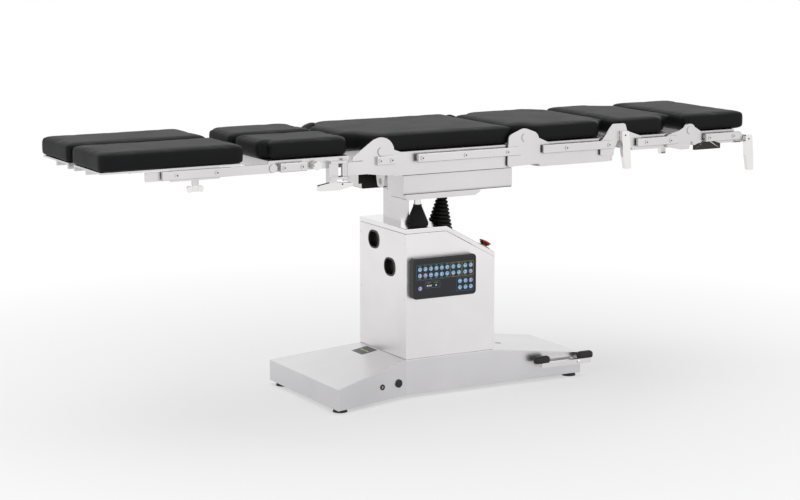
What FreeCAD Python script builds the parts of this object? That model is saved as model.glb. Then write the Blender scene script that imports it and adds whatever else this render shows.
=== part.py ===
import FreeCAD, Part
import math
import os

V = FreeCAD.Vector

# Clearances
SOFT_GAP = 0.3          # between a pad and the pan under it
FIT = 0.1               # radial play of a pin in its bore
PLAY = 0.5              # between plates that turn past each other
PAD_RELIEF = 1.5        # between two pads that fold past each other

# Pads
PAD_TOP = 808.0
PAD_THICK = 52.0
PAD_HALF = 215.0
PAD_EDGE = 9.0
PAD_CORNER = 20.0
NECK_HALF = 165.0
LEG_SLOT = 24.0
FOOT_PAD_HALF = 242.0

# Hinge axes along the top, measured from the middle of the table
FOOT_END_X = -1100.0
FOOT_PAD_LENGTH = 437.0
KNEE_X = -575.0
KNEE_Z = 735.0
LEG_PAD_LEAD = 30.0
HIP_X = -231.0
HIP_Z = 762.0
LEG_PAD_BACK = 91.0
TONGUE = 77.0
TONGUE_HALF = 100.0
BACK_X = 258.0
BACK_Z = 775.0
BACK_LEAD = 26.0
BACK_SPAN = 354.0
UPPER_SPAN = 256.0
SPLIT_Z = 763.0
SPLIT_LEAD = 8.0
HEAD_REACH = 232.0

# Frames under the pads
PAN = 5.0
SIDE_WALL = 9.5
EAR = 5.0
SEAT_DEPTH = 69.0
BACK_DEPTH = 73.0
UPPER_DEPTH = 44.0
HEAD_DEPTH = 42.0
LEG_DEPTH = 30.0
BEAM_IN = 105.0
BEAM_WIDTH = 36.0
CROSS_BEAM = 14.0
PIN_R = 9.0
CAP_R = 12.0
CAP = 3.5

# Release and clamp levers
LEVER_HALF = 13.0
LEVER_DEPTH = 14.0
LEVER_SHEET = 2.0

# Accessory rails
RAIL_HEIGHT = 25.0
RAIL_THICK = 10.0
RAIL_Z = 736.5
RAIL_EDGE = 2.0
SCREW_R = 6.5
SCREW_HEAD = 2.5
SPACER = 16.0

# Legs
ABDUCT_X = -352.0
KNUCKLE_R = 10.0
CLAMP_X = -389.0
CLAMP_Z = 674.0
LEG_KNOB_X = -443.0
KNOB_R = 13.0
KNOB_THICK = 13.0
KNOB_FLUTES = 6
KNOB_STEM_R = 5.0
BOSS_LOW = 705.0
WING_HEIGHT = 18.0
WING_REACH = 26.0
KNUCKLE_LOW = 700.0
KNUCKLE_HIGH = 738.0
LUG = 7.0
SPINDLE_R = 6.0
FOOT_BAR_END_X = -960.0
FOOT_BAR_HEIGHT = 26.0
FOOT_BAR_THICK = 6.0
SLEEVE_WALL = 3.6
SLEEVE_LENGTH = 145.0
SLEEVE_X = -812.5

# Tilt head
TILT_X = -58.0
TILT_Z = 640.0
POST_THICK = 28.0
POST_HALF = 55.0
POST_GAP = 31.0
BEARING_GAP = 16.0
BRACKET_HALF = 34.0
FLANGE = 18.0
CROSS_HALF = 26.0
CROSS_HEIGHT = 36.0
TRUNNION_R = 10.0
CROSS_PIN_R = 11.0
BEARING_WALL = 12.0
HOUSING_LEFT = -138.0
HOUSING_RIGHT = 235.0
HOUSING_LOW = 623.0
HOUSING_TOP = 681.0
HOUSING_HALF = 190.0
HOUSING_WALL = 5.0
CHANNEL_HALF = 92.0
TRAY_LOW = 607.0
TRAY_LEFT = -127.0
TRAY_RIGHT = 128.0
RUNNER_HALF = 12.0

# Column
COLUMN_LEFT = -105.0
COLUMN_RIGHT = 202.7
COLUMN_HALF = 147.0
COLUMN_TOP = 514.0
SLANT_X = 33.0
SLANT_LOW = 421.0
COLUMN_WALL = 3.0
COLUMN_CORNER = 14.0
LID = 15.0
LID_LIP = 2.0
OVALS = ((55.0, 456.0), (-45.0, 386.0))
OVAL_WIDTH = 62.0
OVAL_HEIGHT = 50.0
LINER_WALL = 2.0
LINER_DEPTH = 18.0
SKIRT_GAP = 1.5
SKIRT_WALL = 2.5
MID_SKIRT_TOP = 354.0
LOW_SKIRT_TOP = 340.0
GUIDE_LEFT = -75.0
GUIDE_RIGHT = 45.0
GUIDE_HALF = 70.0
GUIDE_WALL = 8.0
GUIDE_TOP = 470.0
RAM_GAP = 0.4
RAM_LOW = 122.0
STRUT_X = -18.0
STRUT_Y = 60.0
STRUT_R = 10.5
STRUT_TOP = 622.0
BOOT_R = 33.0
BOOT_TOP = 569.0
BELLOWS_X = 95.0
BELLOWS_R = 44.0
BELLOWS_TOP_R = 14.5
BELLOWS_FOLDS = 8
BELLOWS_TOP = 592.0
PLEAT = 5.0

# Control panel and stop button
PANEL_LEFT = -93.0
PANEL_RIGHT = 125.0
PANEL_LOW = 303.0
PANEL_HIGH = 426.0
PANEL_DEPTH = 22.0
PANEL_CORNER = 12.0
BEZEL = 7.0
KEY_SIZE = 14.0
KEY_ROWS = (393.3, 374.2)
KEY_COLUMNS = (-70.7, -51.8, -32.9, -14.2, 4.5, 23.2, 44.2, 63.6, 85.6, 105.1)
SMALL_KEY_COLUMNS = (67.5, 87.0, 105.7)
SMALL_KEY_ROWS = (347.1, 327.8)
LONE_KEY = (-69.7, 335.8)
STOP_X = 180.0
STOP_Y = -115.0
STOP_R = 19.0
STOP_HEIGHT = 20.0
STOP_STEM_R = 11.0
STOP_COLLAR_R = 21.0
STOP_COLLAR = 4.0
STOP_TRAVEL = 5.0

# Base
BASE_LEFT = -377.0
BASE_RIGHT = 521.0
BASE_WIDE = 230.0
BASE_HALF = 147.0
BASE_LOW = 11.0
BASE_END = 76.0
BASE_HIGH = 118.0
BASE_WALL = 4.0
BASE_CORNER = 30.0
BASE_PLATE = 8.0
FOOT_R = 22.0
FOOT_INSET = 26.0
CASTOR_X = -285.0
CASTOR_Y = 140.0
CASTOR_TRAIL = 16.0
WHEEL_R = 26.0
WHEEL_WIDTH = 20.0
WHEEL_LIFT = 2.0
AXLE_R = 5.0
FORK_PLATE = 4.0
FORK_R = 21.0
FIXED_X = 440.0
FIXED_Y = 95.0
CARRIAGE = 6.0
CARRIAGE_Z = 61.0
GUIDE_PIN_R = 6.0
GUIDE_PINS_X = (-200.0, 330.0)
CARRIAGE_BAR_Y = 115.0
WINDOW_LEFT = -166.0
WINDOW_LENGTH = 55.0
WINDOW_Y = 20.0
WINDOW_WIDTH = 70.0
SOCKET_X = -202.0
SOCKET_CAP_X = -136.0
SOCKET_Z = 52.0
SOCKET_R = 10.0
SOCKET_CAP_R = 14.0
SOCKET_DEPTH = 9.0
PEDAL_X = 495.0
PEDAL_Z = 54.0
PEDAL_Y = -170.0
PEDAL_LEFT = 359.0
PEDAL_RIGHT = 541.0
PEDAL_WIDTH = 14.0
PEDAL_BAR = 16.0
PEDAL_PIN_R = 4.0
PEDAL_HUB_R = 8.0
PEDAL_PAD = 55.0
PEDAL_PAD_HIGH = 30.0
PEDAL_PAD_WIDTH = 26.0

# Values that follow
PAD_LOW = PAD_TOP - PAD_THICK
DECK = PAD_LOW - SOFT_GAP
SKIN = PAD_HALF + PLAY
WALL_IN = SKIN - SIDE_WALL
EAR_A = (SKIN, SKIN + EAR)
EAR_B = (SKIN + EAR + PLAY, SKIN + 2 * EAR + PLAY)
RAIL_IN = EAR_B[1] + PLAY
RAIL_OUT = RAIL_IN + RAIL_THICK
UPPER_X = BACK_X + BACK_SPAN
HEAD_X = UPPER_X + UPPER_SPAN
HEAD_END_X = HEAD_X + HEAD_REACH
WHEEL_Z = WHEEL_R + WHEEL_LIFT
SLANT_ANGLE = math.atan2(COLUMN_TOP - SLANT_LOW, COLUMN_RIGHT - SLANT_X)
SLANT_NORMAL = V(math.sin(SLANT_ANGLE), 0, math.cos(SLANT_ANGLE))


def placed(plane, u, v, level):
    """The point (u, v) of a plane that stands at a level of its third axis."""
    if plane == "xy":
        return V(u, v, level)
    if plane == "xz":
        return V(u, level, v)
    return V(level, u, v)


def corner_arc(before, here, after, radius):
    """Start, middle and end of the arc that rounds one corner."""
    to_before = (before - here).normalize()
    to_after = (after - here).normalize()
    half = to_before.getAngle(to_after) / 2
    reach = radius / math.tan(half)
    inward = (to_before + to_after).normalize()
    middle = here + inward * (radius / math.sin(half) - radius)
    return here + to_before * reach, middle, here + to_after * reach


def outline(corners, plane, level):
    """Closed wire through (u, v) or (u, v, radius) corners."""
    spots = [placed(plane, corner[0], corner[1], level) for corner in corners]
    arcs = []
    for index, corner in enumerate(corners):
        here = spots[index]
        if len(corner) == 2:
            arcs.append((here, here, here))
            continue
        after = spots[(index + 1) % len(spots)]
        arcs.append(corner_arc(spots[index - 1], here, after, corner[2]))
    edges = []
    for index, (start, middle, end) in enumerate(arcs):
        if (end - start).Length > 1e-6:
            edges.append(Part.Arc(start, middle, end).toShape())
        following = arcs[(index + 1) % len(arcs)][0]
        if (following - end).Length > 1e-6:
            edges.append(Part.LineSegment(end, following).toShape())
    return Part.Wire(edges)


def plate(corners, plane, low, high):
    """Prism of an outline between two levels of the axis that the plane lacks."""
    face = Part.Face(outline(corners, plane, low))
    return face.extrude(placed(plane, 0, 0, high - low))


def box(x, y, z):
    """Block from three (low, high) spans."""
    size = V(x[1] - x[0], y[1] - y[0], z[1] - z[0])
    return Part.makeBox(size.x, size.y, size.z, V(x[0], y[0], z[0]))


def rod(plane, u, v, low, high, radius):
    """Round bar square to a plane."""
    start = placed(plane, u, v, low)
    return Part.makeCylinder(radius, high - low, start, placed(plane, 0, 0, 1))


def fused(first, *others):
    """One solid out of pieces that touch."""
    return first.multiFuse([piece for piece in others]).removeSplitter()


def mirrored(shape):
    return shape.mirror(V(0, 0, 0), V(0, 1, 0))


def on_side(shape, side):
    """The shape on the far side, or its mirror image on the near side."""
    return shape if side > 0 else mirrored(shape)


def both(shape):
    return [shape, mirrored(shape)]


def symmetric(corners):
    """Outline from the corners of its +Y half, listed from left to right."""
    other = [(corner[0], -corner[1]) + tuple(corner[2:]) for corner in corners]
    return corners + other[::-1]


def export(name, solids):
    shape = solids[0] if len(solids) == 1 else Part.makeCompound(solids)
    shape.exportStep("parts/" + name + ".step")


def soft_pad(corners):
    """Pad with rounded upper edges, from its plan."""
    block = plate(corners, "xy", PAD_LOW, PAD_TOP)
    rim = [edge for edge in block.Edges if edge.BoundBox.ZMin > PAD_TOP - 1e-6]
    return block.makeFillet(PAD_EDGE, rim)


def fold_relief(axis_x, axis_z, lead):
    """Cylinder that the end of the neighbouring pad turns in."""
    radius = math.hypot(lead, PAD_TOP - axis_z) + PAD_RELIEF
    return rod("xz", axis_x, axis_z, -PAD_HALF - PIN_R, PAD_HALF + PIN_R, radius)


def foot_pad(side):
    inner = LEG_SLOT / 2
    right = FOOT_END_X + FOOT_PAD_LENGTH
    plan = [
        (FOOT_END_X, inner, PAD_EDGE + 3), (right, inner, PAD_EDGE + 3),
        (right, FOOT_PAD_HALF, PAD_CORNER), (FOOT_END_X, FOOT_PAD_HALF, PAD_CORNER)]
    return [on_side(soft_pad(plan), side)]


def leg_pad(side):
    inner = LEG_SLOT / 2
    left = KNEE_X - LEG_PAD_LEAD
    right = HIP_X - LEG_PAD_BACK
    notch = PAD_HALF - 40
    plan = [
        (left, inner, PAD_EDGE + 3), (right, inner, PAD_EDGE + 3),
        (right, PAD_HALF - 20, PAD_CORNER), (right - 20, PAD_HALF, PAD_CORNER),
        (left + 28, PAD_HALF, PAD_EDGE + 3), (left + 28, notch, PAD_EDGE),
        (left, notch, PAD_EDGE + 3)]
    return [on_side(soft_pad(plan), side)]


def seat_pad():
    tongue = HIP_X - TONGUE
    shoulder = HIP_X - 11
    plan = symmetric([
        (tongue, TONGUE_HALF, 25), (tongue + 40, TONGUE_HALF + 30, 40),
        (shoulder, PAD_HALF - 20, 30), (shoulder + 14, PAD_HALF, PAD_EDGE + 3),
        (BACK_X, PAD_HALF)])
    return [soft_pad(plan).cut(fold_relief(BACK_X, BACK_Z, BACK_LEAD))]


def back_pad():
    left = BACK_X - BACK_LEAD
    plan = symmetric([
        (left, NECK_HALF, PAD_EDGE + 3), (left + 50, NECK_HALF, 25), (left + 74, PAD_HALF, 25),
        (UPPER_X - 76, PAD_HALF, 25), (UPPER_X - 40, NECK_HALF, 25), (UPPER_X, NECK_HALF)])
    return [soft_pad(plan).cut(fold_relief(UPPER_X, SPLIT_Z, SPLIT_LEAD))]


def upper_pad():
    left = UPPER_X - SPLIT_LEAD
    plan = symmetric([
        (left, PAD_HALF, PAD_CORNER), (HEAD_X - 97, PAD_HALF, 25),
        (HEAD_X - 62, NECK_HALF, 25), (HEAD_X, NECK_HALF)])
    return [soft_pad(plan).cut(fold_relief(HEAD_X, SPLIT_Z, SPLIT_LEAD))]


def head_pad():
    plan = symmetric([
        (HEAD_X - SPLIT_LEAD, PAD_HALF, PAD_CORNER), (HEAD_END_X, PAD_HALF, PAD_CORNER)])
    return [soft_pad(plan)]


def rail(x, inner, screws):
    """Accessory rail on spacers that start at the plate behind it, with its screws."""
    z = (RAIL_Z - RAIL_HEIGHT / 2, RAIL_Z + RAIL_HEIGHT / 2)
    section = [(RAIL_IN, z[0], RAIL_EDGE), (RAIL_OUT, z[0], RAIL_EDGE),
               (RAIL_OUT, z[1], RAIL_EDGE), (RAIL_IN, z[1], RAIL_EDGE)]
    pieces = [plate(section, "yz", x[0], x[1])]
    for screw_x in screws:
        pieces.append(rod("xz", screw_x, RAIL_Z, inner, RAIL_IN + 1, SPACER / 2))
        pieces.append(rod("xz", screw_x, RAIL_Z, RAIL_OUT - 1, RAIL_OUT + SCREW_HEAD, SCREW_R))
    return fused(*pieces)


def side_wall(corners, inner=WALL_IN, outer=SKIN):
    """Upright plate at the side of a frame."""
    return plate(corners, "xz", inner, outer)


def ladder(pan_x, beam_x, depth, crosses):
    """Pan with two long beams and cross beams under it, between the side walls."""
    low = DECK - depth
    high = DECK - PAN + 1
    pieces = [box(pan_x, (-WALL_IN - 1, WALL_IN + 1), (DECK - PAN, DECK))]
    pieces += both(box(beam_x, (BEAM_IN, BEAM_IN + BEAM_WIDTH), (low, high)))
    for cross_x in crosses:
        pieces.append(box((cross_x, cross_x + CROSS_BEAM), (-WALL_IN - 1, WALL_IN + 1), (low, high)))
    return pieces


def hinge_pin(x, z, inner, outer, side):
    """Pin through both ears with a cap outside."""
    pin = rod("xz", x, z, inner, outer, PIN_R)
    cap = rod("xz", x, z, outer, outer + CAP, CAP_R)
    return on_side(fused(pin, cap), side)


def ear(x, z, arm, plane, radius=20.0):
    """Rounded hinge ear with an arm, given as offsets from the hinge axis."""
    corners = [(x + spot[0], z + spot[1]) + tuple(spot[2:]) for spot in arm]
    return fused(rod("xz", x, z, plane[0], plane[1], radius), plate(corners, "xz", *plane))


def drilled(shape, x, z, radius=PIN_R + FIT):
    """The shape with a pin's bore through it, square to the sides."""
    return shape.cut(rod("xz", x, z, -RAIL_OUT - 20, RAIL_OUT + 20, radius))


def child_ear(x, z, reach, depth):
    """Ear of the section that turns: an arm that goes down to the right into its side wall."""
    arm = [(-14, 14, 6), (16, 12, 8), (reach + 32, z_to_deck(z) - 1, 4), (reach + 32, z_to_deck(z) - depth + 6, 6),
           (reach, z_to_deck(z) - depth + 6, 6), (-14, -14, 6)]
    return drilled(ear(x, z, arm, EAR_A), x, z)


def z_to_deck(z):
    return DECK - z


def seat_frame():
    left = HIP_X + 40
    right = BACK_X - 17
    low = DECK - SEAT_DEPTH
    wall = [(left, DECK, 4), (left, low, 6), (right - 22, low, 10), (right - 10, low + 9, 8),
            (right, low + 9, 5), (right, DECK, 4)]
    tongue = box((HIP_X - 68, left + 5), (-TONGUE_HALF + 8, TONGUE_HALF - 8), (DECK - PAN, DECK))
    centre = ladder((left, right - 16), (left, right - 16), SEAT_DEPTH, (left + 4, left + 205, right - 50))
    hip = [(-22, 10, 8), (22, 10, 8), (75, -8, 4), (75, -70, 8), (40, -70, 8), (-26, -30, 12)]
    fin = [(-60, low + 3 - BACK_Z, 8), (-58, 7, 12), (-2, 29, 30), (44, 12, 26), (54, -23, 16),
           (54, low + 7 - BACK_Z, 8)]
    fin_shape = plate([(BACK_X + spot[0], BACK_Z + spot[1], spot[2]) for spot in fin], "xz", *EAR_B)
    link = box((BACK_X - 54, right - 2), (SKIN - 1, EAR_B[0] + 1), (low + 18, BACK_Z - 30))
    rails = rail((HIP_X + 117, right - 4), SKIN - 1, (HIP_X + 131, HIP_X + 277, right - 49))
    sides = []
    for sign in (-1, 1):
        sides.append(on_side(side_wall(wall), sign))
        sides.append(on_side(ear(HIP_X, HIP_Z, hip, EAR_A), sign))
        sides.append(on_side(fused(fin_shape, link, rails), sign))
        sides.append(hinge_pin(HIP_X, HIP_Z, SKIN, EAR_B[1] + PLAY, sign))
        sides.append(hinge_pin(BACK_X, BACK_Z, SKIN, EAR_B[1], sign))
    return [fused(tongue, *centre, *sides)]


def back_frame():
    left = BACK_X + 56
    right = UPPER_X - 25
    low = DECK - BACK_DEPTH
    wall = [(left, DECK, 4), (left, low, 10), (right - 20, low, 14), (right, low + 20, 10), (right, DECK, 4)]
    centre = ladder((left - 20, right), (left, right), BACK_DEPTH, (left, left + 125, right - CROSS_BEAM))
    split = [(-35, 35, 10), (9, 35, 10), (20, 0, 4), (-20, -20, 4), (-37, -60, 6), (-80, -60, 6), (-80, -16, 6)]
    split_ear = plate([(UPPER_X + spot[0], SPLIT_Z + spot[1], spot[2]) for spot in split], "xz", *EAR_B)
    split_ear = fused(split_ear, rod("xz", UPPER_X, SPLIT_Z, EAR_B[0], EAR_B[1], 20))
    link = box((UPPER_X - 72, UPPER_X - 42), (SKIN - 1, EAR_B[0] + 1), (SPLIT_Z - 54, DECK - 4))
    rails = rail((left + 3, UPPER_X - 45), SKIN - 1, (left + 87, UPPER_X - 56))
    arm = child_ear(BACK_X, BACK_Z, 56, BACK_DEPTH)
    sides = []
    for sign in (-1, 1):
        sides.append(on_side(side_wall(wall), sign))
        sides.append(on_side(fused(split_ear, link, rails), sign))
        sides.append(on_side(arm, sign))
        sides.append(on_side(lever_pin(UPPER_X, SPLIT_Z), sign))
    return [fused(*centre, *sides)]


def lever_pin(x, z):
    """Hinge pin that runs on through the release lever to its screw head."""
    return fused(
        rod("xz", x, z, SKIN, EAR_B[1], PIN_R),
        rod("xz", x, z, EAR_B[1], EAR_B[1] + 1, PIN_R + 3),
        rod("xz", x, z, EAR_B[1], EAR_B[1] + 9, SPINDLE_R),
        rod("xz", x, z, EAR_B[1] + 8, EAR_B[1] + 11, SPINDLE_R + 3))


def upper_frame():
    left = UPPER_X + 42
    right = HEAD_X - 57
    low = DECK - UPPER_DEPTH
    wall = [(left, DECK, 4), (left, low, 8), (right, low, 8), (right, DECK, 4)]
    centre = ladder((left - 12, right), (left, right), UPPER_DEPTH, (left, right - CROSS_BEAM))
    end = [(-35, 2, 4), (0, 20, 8), (14, 6, 6), (-2, -59, 6), (-35, -59, 6), (-88, -48, 6), (-88, -12, 6)]
    end_plate = plate([(HEAD_X + spot[0], SPLIT_Z + spot[1], spot[2]) for spot in end], "xz", *EAR_B)
    end_plate = fused(end_plate, rod("xz", HEAD_X, SPLIT_Z, EAR_B[0], EAR_B[1], 20))
    link = box((HEAD_X - 86, right), (SKIN - 1, EAR_B[0] + 1), (low + 2, DECK - 8))
    rails = rail((left + 9, right + 6), SKIN - 1, (left + 42, right - 23))
    arm = child_ear(UPPER_X, SPLIT_Z, 42, UPPER_DEPTH)
    sides = []
    for sign in (-1, 1):
        sides.append(on_side(side_wall(wall), sign))
        sides.append(on_side(fused(end_plate, link, rails), sign))
        sides.append(on_side(arm, sign))
        sides.append(hinge_pin(HEAD_X, SPLIT_Z, SKIN, EAR_B[1], sign))
    return [fused(*centre, *sides)]


def head_frame():
    left = HEAD_X + 17
    right = HEAD_X + 182
    low = DECK - HEAD_DEPTH
    wall = [(left, DECK, 4), (left, low, 8), (right, low, 8), (right, DECK, 4)]
    centre = ladder((left, right), (left, right), HEAD_DEPTH, (left, left + 80, right - CROSS_BEAM))
    track = box((left + 10, left + 110), (WALL_IN, SKIN), (low - 16, low + 1))
    bush = rod("yz", WALL_IN + 2, RAIL_Z - 8, right - 1, right + 26, 17)
    boss = box((right + 8, right + 48), (SKIN - 20, SKIN + 1), (RAIL_Z - 22, RAIL_Z - 2))
    spindle = fused(
        rod("xz", right + 38, RAIL_Z - 12, SKIN - 1, EAR_B[1] + 1, CAP_R),
        rod("xz", right + 38, RAIL_Z - 12, EAR_B[1], EAR_B[1] + 9, SPINDLE_R),
        rod("xz", right + 38, RAIL_Z - 12, EAR_B[1] + 8, EAR_B[1] + 11, SPINDLE_R + 3))
    rails = rail((HEAD_X + 56, HEAD_X + 186), SKIN - 1, (HEAD_X + 70, HEAD_X + 163))
    arm = child_ear(HEAD_X, SPLIT_Z, 17, HEAD_DEPTH)
    sides = []
    for sign in (-1, 1):
        for piece in (side_wall(wall), track, bush, boss, spindle, rails, arm):
            sides.append(on_side(piece, sign))
    return [fused(*centre, *sides)]


def channel(corners, inner_corners, low, high):
    """Folded sheet lever: an outline with its walls turned towards the table and open there."""
    return plate(corners, "xz", low, high).cut(plate(inner_corners, "xz", low - 1, high - LEVER_SHEET))


def release_lever(x, z, drop, lean, side):
    """Folded lever that hangs from an eye on the hinge pin."""
    near = EAR_B[1] + 1 + PLAY

    def shape(wall):
        half = LEVER_HALF - wall
        foot = half - 2
        corner = 4 if wall == 0 else 2
        spots = [(-half, half, corner), (half, half, corner), (lean * 0.6 + half, -drop * 0.5, 10),
                 (lean + foot, -drop + wall, corner), (lean - foot, -drop + wall, corner),
                 (lean * 0.3 - half, -drop * 0.5, 10)]
        return [(x + spot[0], z + spot[1], spot[2]) for spot in spots]

    eye = rod("xz", x, z, near, near + EAR, LEVER_HALF - LEVER_SHEET / 2)
    blade = fused(channel(shape(0), shape(LEVER_SHEET), near, near + LEVER_DEPTH), eye)
    return [on_side(blade.cut(rod("xz", x, z, near - 1, near + EAR + 1, SPINDLE_R + FIT)), side)]


def hip_arm(side):
    """Shield plate of the hip joint with the upright knuckle that carries the leg."""
    shield = [(-71, 35, 14), (-25, 35, 30), (0, 43, 40), (41, 20, 30), (42, -73, 12), (-49, -62, 12),
              (-62, -20, 8), (-95, -22, 6), (-95, -13, 4)]
    spots = [(HIP_X + spot[0], HIP_Z + spot[1], spot[2]) for spot in shield[1:]]
    plain = fused(plate(spots, "xz", *EAR_B), rod("xz", HIP_X, HIP_Z, EAR_B[0], EAR_B[1], 41))
    arm_x = (ABDUCT_X, HIP_X - 45)
    arm = box(arm_x, EAR_B, (KNUCKLE_LOW, KNUCKLE_HIGH))
    knuckle = rod("xy", ABDUCT_X, EAR_B[1], KNUCKLE_LOW, KNUCKLE_HIGH, KNUCKLE_R)
    stub = rail((HIP_X - 18, HIP_X + 40), EAR_B[1] - 1, (HIP_X - 8, HIP_X + 30))
    whole = drilled(fused(plain, arm, knuckle, stub), HIP_X, HIP_Z)
    whole = whole.cut(rod("xy", ABDUCT_X, EAR_B[1], 0, PAD_TOP, SPINDLE_R + FIT))
    return [on_side(whole, side)]


def leg_frame(side):
    """Half-width frame under one leg, with the lugs that hold the hip knuckle."""
    left = KNEE_X - 12
    right = HIP_X - 99
    middle = (left + right) / 2
    low = DECK - LEG_DEPTH
    outer = SKIN - PLAY
    inner = LEG_SLOT / 2 + 8
    wall = [(left, DECK, 5), (left, low - 2, 8), (right, low - 2, 8), (right, DECK, 4)]
    lug_y = (outer - 1, EAR_B[1] + KNUCKLE_R + 3)
    lugs = []
    for z in (KNUCKLE_LOW - PLAY - LUG, KNUCKLE_HIGH + PLAY):
        lugs.append(box((ABDUCT_X - 49, ABDUCT_X), lug_y, (z, z + LUG)))
        lugs.append(rod("xy", ABDUCT_X, EAR_B[1], z, z + LUG, KNUCKLE_R + 3))
        lugs.append(box((ABDUCT_X - 20, ABDUCT_X + 12), (outer - 1, EAR_B[1]), (z, z + LUG)))
    web_z = (KNUCKLE_LOW - PLAY - LUG, KNUCKLE_HIGH + PLAY + LUG)
    web = box((ABDUCT_X - 49, ABDUCT_X - 20), (outer - SIDE_WALL, EAR_B[1] + 1), web_z)
    spindle = rod("xy", ABDUCT_X, EAR_B[1], web_z[0] - 6, web_z[1] + 4, SPINDLE_R)
    hanger = box((ABDUCT_X - 49, ABDUCT_X - 25), (outer - SIDE_WALL, EAR_B[1] + 1), (CLAMP_Z - 10, web_z[0] + 1))
    rivet = fused(
        rod("xz", CLAMP_X, CLAMP_Z, EAR_B[1], EAR_B[1] + 9, SPINDLE_R),
        rod("xz", CLAMP_X, CLAMP_Z, EAR_B[1] + 8, EAR_B[1] + 10, SPINDLE_R + 2))
    bush = rod("xz", LEG_KNOB_X, RAIL_Z, outer - 1, RAIL_IN, KNOB_STEM_R + 5)
    knee = fused(
        rod("xz", KNEE_X, KNEE_Z, outer - 1, SKIN + FOOT_BAR_THICK + PLAY, PIN_R),
        rod("xz", KNEE_X, KNEE_Z, SKIN + FOOT_BAR_THICK + PLAY, SKIN + FOOT_BAR_THICK + PLAY + CAP, CAP_R))
    rails = rail((KNEE_X + 17, KNEE_X + 99), outer - 1, (KNEE_X + 29, KNEE_X + 86))
    pieces = [
        box((left, right), (inner, WALL_IN + 1), (DECK - PAN, DECK)),
        box((left, right), (inner, inner + BEAM_WIDTH), (low, DECK - PAN + 1)),
        box((left, left + CROSS_BEAM), (inner, WALL_IN + 1), (low, DECK - PAN + 1)),
        box((middle, middle + CROSS_BEAM), (inner, WALL_IN + 1), (low, DECK - PAN + 1)),
        box((right - CROSS_BEAM, right), (inner, WALL_IN + 1), (low, DECK - PAN + 1)),
        web, spindle, hanger, rivet, bush, knee, rails] + lugs
    whole = fused(side_wall(wall, WALL_IN, outer), *pieces)
    whole = whole.cut(rod("xz", LEG_KNOB_X, RAIL_Z, outer - 8, RAIL_IN + 1, KNOB_STEM_R + FIT))
    return [on_side(whole, side)]


def leg_knob(side):
    """Fluted clamping knob on its stem."""
    head = rod("xz", LEG_KNOB_X, RAIL_Z, RAIL_IN + PLAY, RAIL_IN + PLAY + KNOB_THICK, KNOB_R)
    for index in range(KNOB_FLUTES):
        turn = 2 * math.pi * index / KNOB_FLUTES
        flute_x = LEG_KNOB_X + (KNOB_R + 2) * math.cos(turn)
        flute_z = RAIL_Z + (KNOB_R + 2) * math.sin(turn)
        head = head.cut(rod("xz", flute_x, flute_z, RAIL_IN, RAIL_IN + 2 * KNOB_THICK, 4))
    stem = rod("xz", LEG_KNOB_X, RAIL_Z, SKIN - 6, RAIL_IN + 2, KNOB_STEM_R)
    return [on_side(fused(head, stem), side)]


def clamp_lever(side):
    """Folded lever under the knuckle that locks the leg's swing."""
    near = EAR_B[1] + 1 + PLAY

    def shape(wall):
        corner = 3 - wall / 2
        spots = [(-52 + wall, 5 - wall, corner), (-52 + wall, -11 + wall, corner), (12, -12 + wall, 10),
                 (56 - wall, -3 + wall, corner), (57 - wall, 7 - wall, 2), (30, 9 - wall, 8), (0, 12 - wall, 8),
                 (-14, 11 - wall, 6)]
        return [(CLAMP_X + spot[0], CLAMP_Z + spot[1], spot[2]) for spot in spots]

    eye = rod("xz", CLAMP_X, CLAMP_Z, near, near + EAR, 11)
    blade = fused(channel(shape(0), shape(LEVER_SHEET), near, near + LEVER_DEPTH), eye)
    return [on_side(blade.cut(rod("xz", CLAMP_X, CLAMP_Z, near - 1, near + EAR + 1, SPINDLE_R + FIT)), side)]


def foot_bar(side):
    """Flat bar from the knee that the foot section slides on."""
    half = FOOT_BAR_HEIGHT / 2
    shape = [(FOOT_BAR_END_X, KNEE_Z - half, 3), (KNEE_X, KNEE_Z - half), (KNEE_X, KNEE_Z + half),
             (FOOT_BAR_END_X, KNEE_Z + half, 3)]
    thick = (SKIN, SKIN + FOOT_BAR_THICK)
    bar = fused(plate(shape, "xz", *thick), rod("xz", KNEE_X, KNEE_Z, thick[0], thick[1], half))
    return [on_side(drilled(bar, KNEE_X, KNEE_Z), side)]


def foot_carriage(side):
    """Pan of the foot section with the sleeve that slides on its bar."""
    half = FOOT_BAR_HEIGHT / 2 + FIT
    slot_y = (SKIN - FIT, SKIN + FOOT_BAR_THICK + FIT)
    x = (SLEEVE_X - SLEEVE_LENGTH / 2, SLEEVE_X + SLEEVE_LENGTH / 2)
    block = box(x, (slot_y[0] - SLEEVE_WALL, slot_y[1] + SLEEVE_WALL),
                (KNEE_Z - half - SLEEVE_WALL, KNEE_Z + half + SLEEVE_WALL))
    pan_x = (FOOT_END_X + 10, FOOT_END_X + FOOT_PAD_LENGTH - 12)
    inner = LEG_SLOT / 2 + 8
    pan = box(pan_x, (inner, slot_y[1] + SLEEVE_WALL), (DECK - PAN, DECK))
    ribs = [box(pan_x, (y, y + 10), (DECK - PAN - 12, DECK - PAN + 1)) for y in (inner, inner + 90)]
    boss = rod("xy", SLEEVE_X, SKIN + FOOT_BAR_THICK / 2, BOSS_LOW, KNEE_Z - half - SLEEVE_WALL + 1, 10)
    rails = rail((SLEEVE_X - 103, SLEEVE_X + 101), slot_y[1] + SLEEVE_WALL - 1, (SLEEVE_X - 60, SLEEVE_X + 60))
    whole = fused(block, pan, boss, rails, *ribs)
    whole = whole.cut(box((x[0] - 1, x[1] + 1), slot_y, (KNEE_Z - half, KNEE_Z + half)))
    bore = rod("xy", SLEEVE_X, SKIN + FOOT_BAR_THICK / 2, BOSS_LOW - 1, KNEE_Z - half + 1, KNOB_STEM_R + FIT)
    return [on_side(whole.cut(bore), side)]


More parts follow.
